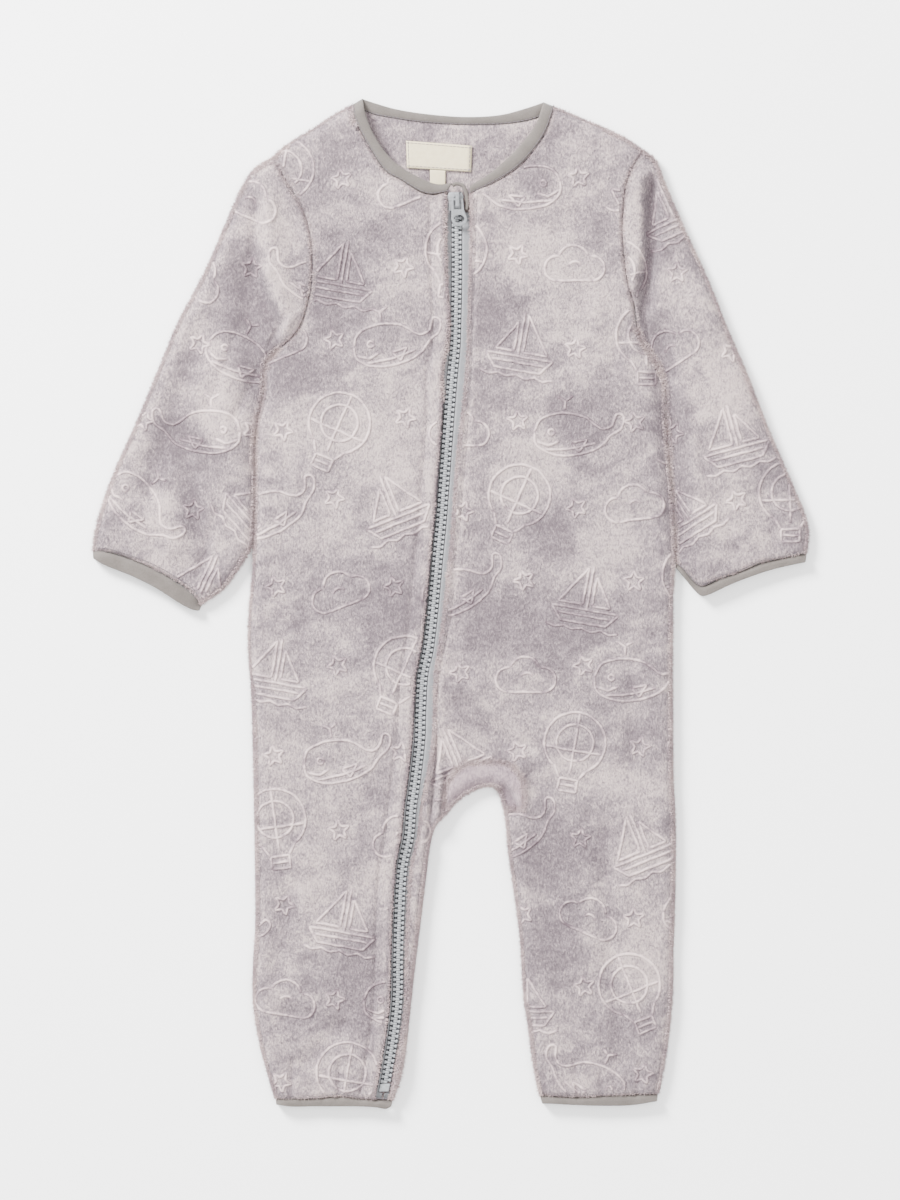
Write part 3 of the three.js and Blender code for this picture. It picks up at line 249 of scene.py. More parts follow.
side_right, side_left = rail(SIDE_RIGHT), rail(SIDE_LEFT)
inseam_right, inseam_left = rail(INSEAM_RIGHT), rail(INSEAM_LEFT)
beside_right = rail(BESIDE_RIGHT)
zip_middle, to_right, to_left = (rail(ZIP, k) for k in (1, 2, 3))


def fleece_right(y):
    return zip_middle(y) - to_right(y)


def fleece_left(y):
    return zip_middle(y) + to_left(y)


def under_sleeve_right(y):
    return side_right(y) - beside_right(y)


def under_sleeve_left(y):
    return side_left(y) + SLEEVE_GAP


def edges_of(lines):
    """Several lines cut into short segments, with a search tree of their middles."""
    starts, ends = [], []
    for line in lines:
        for a, b in zip(line[:-1], line[1:]):
            cuts = even(max(int(np.hypot(*(b - a)) / 1.5), 1))[:, None]
            row = a + (b - a) * cuts
            starts.append(row[:-1])
            ends.append(row[1:])
    starts, ends = np.vstack(starts), np.vstack(ends)
    tree = KDTree(len(starts))
    for k, (x, y) in enumerate((starts + ends) / 2):
        tree.insert((x, y, 0), k)
    tree.balance()
    return starts, ends, tree


def distance(points, segments):
    """Distance from each point to the nearest of the segments."""
    starts, ends, tree = segments
    nearest = np.array([tree.find((x, y, 0))[1] for x, y in points])
    found = np.full(len(points), np.inf)
    for other in (-1, 0, 1):
        k = np.clip(nearest + other, 0, len(starts) - 1)
        along = ends[k] - starts[k]
        t = np.clip(((points - starts[k]) * along).sum(1) / (along**2).sum(1), 0, 1)
        off = points - starts[k] - t[:, None] * along
        found = np.minimum(found, np.sqrt((off**2).sum(1)))
    return found


silhouette = edges_of([
    down(side_right, 165, -322, even(60)), down(side_left, 178, -319, even(60)),
    down(inseam_right, -139, -323, even(24)), down(inseam_left, -134, -320, even(24)),
    down(rail(OUTER_SLEEVE_RIGHT), 290.5, 35, even(24)), down(rail(OUTER_SLEEVE_LEFT), 295, 33, even(24)),
    down(under_sleeve_right, 165, -1, even(24)), down(under_sleeve_left, 178, 26.5, even(24)),
    trace(SHOULDER_RIGHT, even(8)), trace(SHOULDER_LEFT, even(8)),
    np.array([SHOULDER_RIGHT[-1], NECK_RIGHT_FREE[-1]]), np.array([SHOULDER_LEFT[0], NECK_LEFT_FREE[-1]]),
    trace(GUSSET_EDGE, even(16))])
mouths = edges_of([trace(rows, even(10)) for rows in (
    CUFF_RIGHT_EDGE, CUFF_LEFT_EDGE, HEM_RIGHT_EDGE, HEM_LEFT_EDGE)])
seams = edges_of([trace(rows, even(24)) for rows in (
    ARMHOLE_RIGHT, ARMHOLE_LEFT, CUFF_RIGHT_SEAM, CUFF_LEFT_SEAM, HEM_RIGHT_SEAM, HEM_LEFT_SEAM,
    NECK_RIGHT_FLEECE, NECK_LEFT_FLEECE)])
gusset_seam = edges_of([trace(GUSSET_SEAM, even(30)), np.array([(47.6, -133.5), (35, -133.7)])])
# Topstitching that holds the turned fleece edges to the zip tapes
TOPSTITCH_RIGHT = 10.8  # from the right fleece edge
TOPSTITCH_LEFT = [(262, 17), (210, 15.5), (152, 13.5), (94, 9.5), (54, 6.2), (28, 2.9), (-5, 0.8), (-21, -2.5),
                  (-38, -5.8), (-55, -8.3), (-75, -9.2), (-100, -9.5), (-114, -11.2), (-135.5, -12.6)]


def straight_down(line, start, end, count):
    """Points of an edge at that many even heights."""
    y = np.linspace(start, end, count)
    return np.stack([line(y), y], -1)


topstitch_lines = [
    straight_down(lambda y: fleece_right(y) - TOPSTITCH_RIGHT, 262, -318, 200),
    straight_down(rail(TOPSTITCH_LEFT), 262, -135, 140)]
topstitching = edges_of(topstitch_lines)
zip_edges = edges_of([straight_down(line, 268, -323, 120) for line in (fleece_right, fleece_left)])


def wave(points, size, seed):
    """Smooth noise from -1 to 1 with features of that size."""
    return np.array([noise.noise((x / size, y / size, seed)) for x, y in points])


def ridges(points, table):
    """Height that a table's folds add at each point."""
    total = np.zeros(len(points))
    for x0, y0, x1, y1, wide, high in table:
        a, along = np.array([x0, y0]), np.array([x1 - x0, y1 - y0])
        t = np.clip(((points - a) @ along) / (along @ along), 0, 1)
        off = points - a - t[:, None] * along
        total += high * np.exp(-((off**2).sum(1)) / wide**2)
    return total


# Unevenness of the cloth's face: height, size and seed of each layer of noise
LOFT_NOISE = ((0.85, 34, 3.1), (0.45, 13, 7.7), (0.15, 5, 1.9))
FOLD_GAIN, CREASE_GAIN = 1.3, 1.25  # the visible folds are a little deeper than the solids'
SEAM_DEPTH, SEAM_DEPTH_NOISE = 1.7, (0.9, 11, 8.3)
GUSSET_DEPTH, STITCH_DEPTH = 0.7, 1.2
EDGE_SWELL, EDGE_DROP = 0.7, 1.6  # the turned fleece edge beside the zip


def noise_layers(points, layers):
    return sum(high * wave(points, size, seed) for high, size, seed in layers)


def rolled(far, roll):
    """From 0 at a fold to 1 where the cloth has rolled over it, as a quarter of a circle."""
    return np.sqrt(1 - (1 - np.minimum(far / roll, 1)) ** 2)


def surface(points, detail=True):
    """Height of the cloth's upper face, in millimetres."""
    points = np.asarray(points, float).reshape(-1, 2)
    lip = (points[:, 1] < CROTCH) & (points[:, 0] > zip_middle(points[:, 1])) & (points[:, 0] < 0)
    rounding = rolled(distance(points, silhouette), np.where(lip, LIP_ROLL, ROLL))
    full = EDGE_TOP + LOFT + ridges(points, FOLDS) * (FOLD_GAIN if detail else 1)
    full -= MOUTH_DROP * falloff(distance(points, mouths), MOUTH_REACH)
    if detail:
        full += ridges(points, CREASES) * CREASE_GAIN
        full += noise_layers(points, LOFT_NOISE)
        full -= (SEAM_DEPTH + noise_layers(points, [SEAM_DEPTH_NOISE])) * falloff(distance(points, seams), 1.3)
        full -= GUSSET_DEPTH * falloff(distance(points, gusset_seam), 2)
        full -= STITCH_DEPTH * falloff(distance(points, topstitching), 1.3)
        edge = distance(points, zip_edges)
        full += EDGE_SWELL * falloff(edge - 4, 3) - EDGE_DROP * falloff(edge, 1.2)
    lowest = EDGE_TOP - (STITCH_DEPTH if detail else 0)
    return FOLD_Z + (np.maximum(full, lowest) - FOLD_Z) * rounding


NAP_AND_SHADE_GAIN, NAP_AND_SHADE_SPREAD = 1.25, 1.4
PAINTED_GAP_SHADE_RIGHT, PAINTED_GAP_SHADE_LEFT = 1.9, 0.3  # how dark the painted shade in the gap beside the zip is, right and left


def nap_and_painted_shade_of(points, seed=0.0):
    """How the pile lies at each point, with painted highlight on folds and turned zip edges and painted shade in fold
    valleys and the gap beside the zip; about 0.5 with 0 dark and 1 light.
    """
    points = np.asarray(points, float).reshape(-1, 2)
    brushed = points + 7 * np.stack([wave(points, 12, 4.4 + seed), wave(points, 12, 6.6 + seed)], -1)
    strokes = np.stack([brushed @ (0.32, 0.11), brushed @ (-0.33, 0.94)], -1)
    total = 0.45 * wave(points, 36, 11.3 + seed) + 0.3 * wave(brushed, 15, 5.2 + seed)
    total += 0.2 * wave(brushed, 6, 9.1)
    total += 0.55 * wave(strokes, 8, 2.7 + seed)
    for x, y, radius, amount in NAP_AND_PAINTED_SHADE:
        total += NAP_AND_SHADE_GAIN * amount * np.exp(-((brushed - (x, y)) ** 2).sum(1) / (NAP_AND_SHADE_SPREAD * radius**2))
    # Painted highlight on the folds' ridges and painted shade in their valleys.
    total += 0.22 * (ridges(points, FOLDS) + ridges(points, CREASES))
    beside_zip = distance(points, zip_edges)
    # Painted shade: a narrow band at each zip edge is darkened for the shadowed gap beside the chain.
    painted_gap_shade = np.where(points[:, 0] < zip_middle(points[:, 1]), PAINTED_GAP_SHADE_RIGHT, PAINTED_GAP_SHADE_LEFT)
    # Painted highlight: a lighter band on the swelled, turned fleece edges beside the zip.
    total += 0.4 * falloff(beside_zip - 5, 3)
    return 0.53 + 0.37 * np.tanh(1.7 * total) - painted_gap_shade * falloff(beside_zip, 1.1)


def patch(bottom, upper, right_edge, left_edge, across, up):
    """A grid of points between four edges: rows go up the garment, columns towards the wearer's left."""
    u, v = np.asarray(across)[None, :, None], np.asarray(up)[:, None, None]
    rows = bottom[None] * (1 - v) + upper[None] * v
    columns = right_edge[:, None] * (1 - u) + left_edge[:, None] * u
    low = bottom[0] * (1 - u) + bottom[-1] * u
    high = upper[0] * (1 - u) + upper[-1] * u
    return rows + columns - low * (1 - v) - high * v


def rounded_shares(length, cell, start=False, end=False, roll=ROLL):
    """Shares along a length in cells of one size, closer where the cloth rolls over a fold."""
    turn = roll * (1 - np.cos(np.linspace(0, math.pi / 2, 8)))
    lead = turn if start else np.array([0.0])
    tail = length - turn[::-1] if end else np.array([length])
    middle = np.linspace(lead[-1], tail[0], max(int((tail[0] - lead[-1]) / cell), 1) + 1)
    return np.concatenate([lead[:-1], middle, tail[1:]]) / length


def linked(name, data):
    """A new object of that mesh, light or camera, put in the scene."""
    piece = bpy.data.objects.new(name, data)
    bpy.context.scene.collection.objects.link(piece)
    return piece


def mesh_of(name, places, faces, edges=()):
    """A mesh from places in the tables' millimetres."""
    mesh = bpy.data.meshes.new(name)
    mesh.from_pydata(((np.asarray(places, float) + [*SHIFT, 0]) * MM).tolist(), list(edges), faces)
    return mesh


def reshape(mesh, change):
    """Changes a mesh by a function of its bmesh."""
    made = bmesh.new()
    made.from_mesh(mesh)
    made.faces.ensure_lookup_table()
    change(made)
    made.to_mesh(mesh)
    made.free()


def recalculate(made):
    bmesh.ops.recalc_face_normals(made, faces=made.faces)


def walled(name, grids, heights, thick, merge, seed=0.0):
    """A thin closed shell on grids of points that share edges, with points nearer than `merge` made one."""
    corners, faces, base = [], [], 0
    for grid, z in zip(grids, heights):
        rows, columns = grid.shape[:2]
        corners.append(np.column_stack([grid.reshape(-1, 2), z.reshape(-1)]))
        index = base + np.arange(rows * columns).reshape(rows, columns)
        quads = np.stack([index[:-1, :-1], index[:-1, 1:], index[1:, 1:], index[1:, :-1]], -1)
        faces.append(quads.reshape(-1, 4))
        base += rows * columns
    mesh = mesh_of(name, np.vstack(corners), np.vstack(faces).tolist())

    def close(made):
        bmesh.ops.remove_doubles(made, verts=made.verts, dist=merge * MM)
        recalculate(made)

    reshape(mesh, close)
    if max(mesh.polygons, key=lambda face: face.center.z).normal.z < 0:
        mesh.flip_normals()
    finish_mesh(mesh, seed)
    piece = linked(name, mesh)
    walls = piece.modifiers.new("wall", "SOLIDIFY")
    walls.thickness, walls.offset = thick * MM, -1
    return applied(piece)


def shell(name, grids, heights, thick=CLOTH_SHOWN, seed=0.0):
    """A flat-lying piece of cloth."""
    return walled(name, grids, heights, thick, 0.05, seed)


def finish_mesh(mesh, seed=0.0):
    """Smooth shading, and the lie of the pile with its painted shade and highlight, as an attribute."""
    mesh.shade_smooth()
    places = np.empty(len(mesh.vertices) * 3)
    mesh.vertices.foreach_get("co", places)
    places = places.reshape(-1, 3)[:, :2] / MM - SHIFT
    layer = mesh.attributes.new("nap", "FLOAT", "POINT")
    layer.data.foreach_set("value", nap_and_painted_shade_of(places, seed).astype(np.float32))


def applied(piece):
    """The piece with its modifiers made part of its mesh."""
    bpy.context.view_layer.update()
    evaluated = piece.evaluated_get(bpy.context.evaluated_depsgraph_get())
    mesh = bpy.data.meshes.new_from_object(evaluated)
    mesh.name = piece.name
    piece.modifiers.clear()
    piece.data = mesh
    return piece


def fit(piece, body, slot, *nodes):
    """The piece rides on a body and stands for the nodes named. The slot is not used."""
    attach(piece, body)
    if nodes:
        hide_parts(*nodes)
    return piece


# Finishes


def colour(hex_code):
    """An sRGB hex colour as linear light."""
    parts = [int(hex_code[i:i + 2], 16) / 255 for i in (1, 3, 5)]
    return [c / 12.92 if c <= 0.04045 else ((c + 0.055) / 1.055) ** 2.4 for c in parts] + [1.0]


def add(tree, kind, inputs=(), **settings):
    """Adds a node; an input is a value or the socket that feeds it."""
    made = tree.nodes.new(kind)
    for key, value in settings.items():
        setattr(made, key, value)
    for key, value in dict(inputs).items():
        if isinstance(value, bpy.types.NodeSocket):
            tree.links.new(value, made.inputs[key])
        else:
            made.inputs[key].default_value = value
    return made


def material(name, values):
    """A new material and its tree and shader, with the shader's constants set on its own sockets."""
    made = bpy.data.materials.new(name)
    made.use_nodes = True
    tree = made.node_tree
    shader = tree.nodes["Principled BSDF"]
    for key, value in values.items():
        shader.inputs[key].default_value = value
    return made, tree, shader


def grain(tree, size, detail=2.0, stretch=(1, 1, 1), rough=0.6):
    """Noise with features of that size in millimetres, on the object's own coordinates."""
    place = add(tree, "ShaderNodeTexCoord").outputs["Object"]
    spread = add(tree, "ShaderNodeMapping", {"Vector": place, "Scale": [s / (size * MM) for s in stretch]})
    return add(tree, "ShaderNodeTexNoise", {
        "Vector": spread.outputs[0], "Scale": 1.0, "Detail": detail, "Roughness": rough}).outputs["Fac"]


def maths(tree, operation, a, b=0.0, c=0.0):
    return add(tree, "ShaderNodeMath", {0: a, 1: b, 2: c}, operation=operation).outputs[0]


def ramp(tree, factor, stops):
    made = add(tree, "ShaderNodeValToRGB", {"Fac": factor})
    elements = made.color_ramp.elements
    while len(elements) < len(stops):
        elements.new(0.5)
    for element, (place, hex_code) in zip(elements, stops):
        element.position, element.color = place, colour(hex_code)
    return made.outputs["Color"]


def bump(tree, shader, height, depth, before=None):
    inputs = {"Height": height, "Distance": depth * MM, "Strength": 1.0}
    if before is not None:
        inputs["Normal"] = before
    made = add(tree, "ShaderNodeBump", inputs).outputs["Normal"]
    tree.links.new(made, shader.inputs["Normal"])
    return made


def fleece_material(name, dark, middle, light, depth):
    """Polyester coral fleece, brushed and sheared: a dense pile that goes light or dark as it is stroked, and takes
    painted highlight and shade from its attribute.
    """
    made, tree, shader = material(name, {
        "Roughness": 0.95, "Sheen Weight": 0.2, "Sheen Roughness": 0.55, "Specular IOR Level": 0.2,
        "Sheen Tint": colour("#f4eef0")})
    nap = add(tree, "ShaderNodeAttribute", attribute_name="nap").outputs["Fac"]
    tufts = grain(tree, 1.45, 4.0, (1, 0.6, 1), 0.75)
    hairs = grain(tree, 0.95, 3.0, (1.2, 0.5, 1), 0.8)
    stroked = grain(tree, 9, 3.0)
    total = maths(tree, "MULTIPLY_ADD", tufts, 2.1, nap)
    total = maths(tree, "MULTIPLY_ADD", hairs, 1.7, total)
    total = maths(tree, "MULTIPLY_ADD", stroked, 0.9, total)
    total = maths(tree, "MULTIPLY_ADD", total, 0.5, -0.685)
    # The near-black first stop is painted shadow, reached mostly where the painted gap shade beside the zip pulls the
    # tone down.
    tint = ramp(tree, total, [(0.0, "#141112"), (0.36, dark), (0.5, dark), (0.75, middle), (1.0, light)])
    tree.links.new(tint, shader.inputs["Base Color"])
    first = bump(tree, shader, tufts, depth)
    bump(tree, shader, hairs, depth * 0.55, first)
    return made


fleece = fleece_material("coral_fleece_polyester", "#5d5157", "#897b7f", "#c0ada9", 1.9)
short_fleece = fleece_material("short_pile_fleece_polyester", "#65575d", "#837278", "#9b898b", 0.7)


def ridge_material():
    """The same fleece where hot rollers have pressed lines into it: packed pile, with a painted highlight along each
    line's crest.
    """
    made, tree, shader = material("coral_fleece_pressed_lines", {
        "Roughness": 0.85, "Sheen Weight": 0.45, "Sheen Roughness": 0.4, "Specular IOR Level": 0.25})
    nap = add(tree, "ShaderNodeAttribute", attribute_name="nap").outputs["Fac"]
    crest = add(tree, "ShaderNodeAttribute", attribute_name="crest").outputs["Fac"]
    tufts = grain(tree, 2.0, 3.0)
    total = maths(tree, "MULTIPLY_ADD", tufts, 1.3, nap)
    # Painted highlight: each line's crest is painted lighter, broken up by noise.
    crest_highlight = maths(tree, "MULTIPLY", crest, grain(tree, 6, 2.0, rough=0.5))
    total = maths(tree, "MULTIPLY_ADD", crest_highlight, 0.95, total)
    total = maths(tree, "SUBTRACT", total, 0.95)
    tint = ramp(tree, total, [(0.0, "#4f4248"), (0.4, "#7d6e72"), (1.0, "#bdaaa6")])
    tree.links.new(tint, shader.inputs["Base Color"])
    bump(tree, shader, tufts, 0.3)
    return made


def knit_material(name, dark, light):
    """Cotton jersey with elastane: fine wales that show as soft lines across the binding."""
    made, tree, shader = material(name, {"Roughness": 0.8, "Sheen Weight": 0.15, "Specular IOR Level": 0.25})
    wales = grain(tree, 0.9, 1.0, (1, 1, 1))
    cloud = grain(tree, 9, 3.0)
    total = maths(tree, "MULTIPLY_ADD", wales, 0.5, maths(tree, "MULTIPLY", cloud, 0.6))
    tree.links.new(ramp(tree, total, [(0.3, dark), (0.75, light)]), shader.inputs["Base Color"])
    bump(tree, shader, wales, 0.22)
    return made


def woven_material(name, dark, light, pitch, lift):
    """Woven polyester: crossing threads of that pitch in millimetres."""
    made, tree, shader = material(name, {"Roughness": 0.7, "Specular IOR Level": 0.35})
    place = add(tree, "ShaderNodeTexCoord").outputs["Object"]
    waves = []
    for direction in ("X", "Y"):
        waves.append(add(tree, "ShaderNodeTexWave", {
            "Vector": place, "Scale": 1 / (pitch * MM) / 6.283 * 2, "Distortion": 0.6, "Detail": 1.0},
            bands_direction=direction).outputs["Fac"])
    weave = maths(tree, "MULTIPLY", waves[0], waves[1])
    tone = maths(tree, "MULTIPLY_ADD", grain(tree, 4, 2.0), 0.6, maths(tree, "MULTIPLY", weave, 0.5))
    tree.links.new(ramp(tree, tone, [(0.2, dark), (0.75, light)]), shader.inputs["Base Color"])
    bump(tree, shader, weave, lift)
    return made


def plastic_material(name, dark, light, rough, metallic=0.0):
    """Moulded acetal or enamelled zinc: an even colour with fine flow marks."""
    made, tree, shader = material(name, {"Metallic": metallic, "Specular IOR Level": 0.5})
    flow = grain(tree, 1.6, 4.0)
    tree.links.new(ramp(tree, flow, [(0.3, dark), (0.7, light)]), shader.inputs["Base Color"])
    gloss = maths(tree, "MULTIPLY_ADD", grain(tree, 0.7, 3.0), 0.2, rough)
    tree.links.new(gloss, shader.inputs["Roughness"])
    bump(tree, shader, flow, 0.03)
    return made


jersey = knit_material("cotton_jersey_binding", "#4d4743", "#5d5753")
tape_cloth = woven_material("woven_polyester_zip_tape", "#68696c", "#808184", 0.7, 0.12)
label_cloth = woven_material("woven_satin_label", "#bbad8c", "#cfc3a4", 0.5, 0.06)
teeth_plastic = plastic_material("moulded_acetal_teeth", "#707275", "#8e9093", 0.36)
# A dark sheet for under the zip's teeth: painted shade in the gaps between them.
painted_tooth_gap_shade = plastic_material("moulded_acetal_core", "#292a2d", "#3a3b3f", 0.6)
slider_metal = plastic_material("enamelled_zinc_slider", "#626467", "#7a7b7e", 0.36, 0.2)
thread = knit_material("spun_polyester_thread", "#645c61", "#7c7479")
dark_thread = knit_material("spun_polyester_thread_dark", "#4d454a", "#645c61")


def paint(piece, finish):
    piece.data.materials.clear()
    piece.data.materials.append(finish)
    return piece


# Cloth pieces


ARMPIT_RIGHT, ARMPIT_LEFT = np.array([-112.0, 165]), np.array([121.0, 178])
GUSSET_START = np.array([-4.4, CROTCH])
GUSSET_END = np.array([47.6, CROTCH])
INNER_END = np.array([35, -134.0])  # where the left leg's inner edge meets the gusset
GUSSET_TURN = 0.125  # share of the gusset's seam beside the strip of the right leg
LEG_SHARE = 0.113  # share of the left leg's width under the gusset's end


def between(start, end, shares):
    """Points on the straight line between two points."""
    return start + (end - start) * np.asarray(shares)[:, None]


def on_hem(seam_rows, start, width, shares):
    """Points of a hem's seam, at shares of its width."""
    x = start + width * shares
    return np.stack([x, rail(seam_rows)(x)], -1)


def front_right():
    across = rounded_shares(120, CELL, start=True)
    rows, top_rows = even(int(487 / ROW_CELL)), even(int(150 / ROW_CELL))
    corner = np.array([float(fleece_right(165)), 165])
    waist = between(ARMPIT_RIGHT, corner, across)
    hem = on_hem(HEM_RIGHT_SEAM, -114, fleece_right(-322) + 114, across)
    split = 0.333  # share of the width under the shoulder
    shoulder = trace(SHOULDER_RIGHT, across[across <= split] / split)
    neck = trace(NECK_RIGHT_FLEECE[::-1], (across[across > split] - split) / (1 - split))
    crown = np.vstack([shoulder, neck])
    crown[len(shoulder) - 1] = SHOULDER_RIGHT[-1]
    lower = patch(hem, waist, down(side_right, hem[0, 1], 165, rows),
                  down(fleece_right, hem[-1, 1], 165, rows), across, rows)
    upper = patch(waist, crown, trace(ARMHOLE_RIGHT, top_rows),
                  down(fleece_right, 165, crown[-1, 1], top_rows), across, top_rows)
    return [lower, upper]


def front_left():
    # Four patches share their edges: body, chest, the strip of the right leg and the left leg
    strip_u, arch_u = 0.09, 0.46  # shares of the width beside the strip, and up to the gusset's end
    strip = rounded_shares(14, CELL)
    arch = even(int(60 / CELL))
    leg = rounded_shares(110, CELL, end=True)
    under_gusset = rounded_shares(12.6, CELL, start=True, roll=6)
    gusset_start = trace(GUSSET_SEAM, [GUSSET_TURN])[0]
    corner = np.array([float(fleece_left(170)), 170])
    across = np.concatenate([
        strip * strip_u, strip_u + arch[1:] * (arch_u - strip_u), arch_u + leg[1:] * (1 - arch_u)])
    waist = between(corner, ARMPIT_LEFT, across)
    neck_cells = int(len(across) * 0.52)
    crown = np.vstack([
        trace(NECK_LEFT_FLEECE, even(neck_cells)),
        trace(SHOULDER_LEFT, even(len(across) - 1 - neck_cells))[1:]])
    zip_corner = np.array([float(fleece_left(gusset_start[1])), gusset_start[1]])
    strip_row = between(zip_corner, gusset_start, strip)
    seam = trace(GUSSET_SEAM, GUSSET_TURN + (1 - GUSSET_TURN) * arch)
    leg_row = between(GUSSET_END, np.array([float(side_left(CROTCH)), CROTCH]), leg)
    gusset_row = between(np.array([INSEAM_LEFT[0][1], INSEAM_LEFT[0][0]], float), GUSSET_END, under_gusset)
    rows, top_rows, leg_rows = (even(int(high / ROW_CELL)) for high in (305, 140, 190))
    body = patch(np.vstack([strip_row, seam[1:], leg_row[1:]]), waist,
                 down(fleece_left, zip_corner[1], 170, rows), down(side_left, CROTCH, 178, rows), across, rows)
    chest = patch(waist, crown, down(fleece_left, 170, crown[0, 1], top_rows),
                  trace(ARMHOLE_LEFT, top_rows), across, top_rows)
    strip_hem = between(np.array([float(fleece_left(-322.5)), -322.5]), np.array([-37.5, -323]), strip)
    inner_edge = down(inseam_right, -323, CROTCH, leg_rows)
    climb = even(8)[1:]
    right_side = np.vstack([inner_edge, trace(GUSSET_SEAM, GUSSET_TURN * climb)])
    left_side = np.vstack([down(fleece_left, -322.5, CROTCH, leg_rows),
                           down(fleece_left, CROTCH, zip_corner[1], climb)])
    strip_leg = patch(strip_hem, strip_row, left_side, right_side, strip, even(len(right_side) - 1))
    leg_across = np.concatenate([under_gusset * LEG_SHARE, LEG_SHARE + leg[1:] * (1 - LEG_SHARE)])
    hem = on_hem(HEM_LEFT_SEAM, 58, 77, leg_across)
    left_leg = patch(hem, np.vstack([gusset_row, leg_row[1:]]), down(inseam_left, hem[0, 1], -134, leg_rows),
                     down(side_left, hem[-1, 1], CROTCH, leg_rows), leg_across, leg_rows)
    return [body, chest, strip_leg, left_leg]


def from_chord(line):
    """How far along its chord, and how far off it, each point of a line is."""
    chord = line[-1] - line[0]
    length = np.linalg.norm(chord)
    off = line - line[0]
    return off @ chord / length**2, (off[:, 0] * chord[1] - off[:, 1] * chord[0]) / length


def sleeve(armhole_line, cuff_line, outer, under, shares):
    """Rows across a sleeve, from the armhole's curve to the cuff's."""
    arm_along, arm_off = from_chord(armhole_line)
    cuff_along, cuff_off = from_chord(cuff_line)
    v = even(len(outer) - 1)[:, None]
    u = shares[None, :]
    chord = under - outer
    length = np.linalg.norm(chord, axis=1)[:, None]
    high, low = (1 - v) ** (1 + 8 * u), v**4 * np.ones_like(u)
    along = u * (1 - high - low) + arm_along * high + cuff_along * low
    off = (arm_off * high + cuff_off * low) / length
    x = outer[:, :1] + chord[:, :1] * along + off * chord[:, 1:]
    y = outer[:, 1:] + chord[:, 1:] * along - off * chord[:, :1]
    return np.stack([x, y], -1)


sleeve_shares = rounded_shares(72, CELL, start=True, end=True)
sleeve_rows = even(int(262 / SLEEVE_ROW_CELL))


def sleeve_right():
    return sleeve(trace(ARMHOLE_RIGHT[::-1], sleeve_shares), trace(CUFF_RIGHT_SEAM, sleeve_shares),
                  down(rail(OUTER_SLEEVE_RIGHT), 290.5, 35, sleeve_rows),
                  down(under_sleeve_right, 165, -1, sleeve_rows**1.5), sleeve_shares)


def sleeve_left():
    return sleeve(trace(ARMHOLE_LEFT[::-1], sleeve_shares), trace(CUFF_LEFT_SEAM, sleeve_shares),
                  down(rail(OUTER_SLEEVE_LEFT), 295, 33, sleeve_rows),
                  down(under_sleeve_left, 178, 26.5, sleeve_rows**1.5), sleeve_shares)


def under_face(points, over):
    """The under face of a flattened tube: flat where it rests, rising to the fold at its edges."""
    return np.minimum(FOLD_Z * (1 - rolled(distance(points, silhouette), UNDER_ROLL)), over)


def tube(name, grid, sunk, thick):
    """A flattened tube, open at both ends, from the grid of its upper face."""
    rows, columns = grid.shape[:2]
    flat = grid.reshape(-1, 2)
    over = (surface(flat) - sunk).reshape(rows, columns)
    under = under_face(flat, over.reshape(-1)).reshape(rows, columns)
    over[:, [0, -1]] = FOLD_Z
    under[:, [0, -1]] = FOLD_Z
    ring = np.concatenate([grid, grid[:, -2::-1]], 1)
    z = np.concatenate([over, under[:, -2::-1]], 1)
    return walled(name, [ring], [z], thick, 0.01)


def panel(name, grids):
    return shell(name, grids, [surface(grid.reshape(-1, 2)) for grid in grids])


front_right_grids, front_left_grids = front_right(), front_left()
sleeve_right_grid, sleeve_left_grid = sleeve_right(), sleeve_left()

pieces = {}
for node, grids in (("front_right", front_right_grids), ("front_left", front_left_grids)):
    pieces[node] = paint(panel(f"{node}_cloth", grids), fleece)
for node, grid in (("sleeve_right", sleeve_right_grid), ("sleeve_left", sleeve_left_grid)):
    pieces[node] = paint(tube(f"{node}_cloth", grid, 0, THIN_SHOWN), fleece)


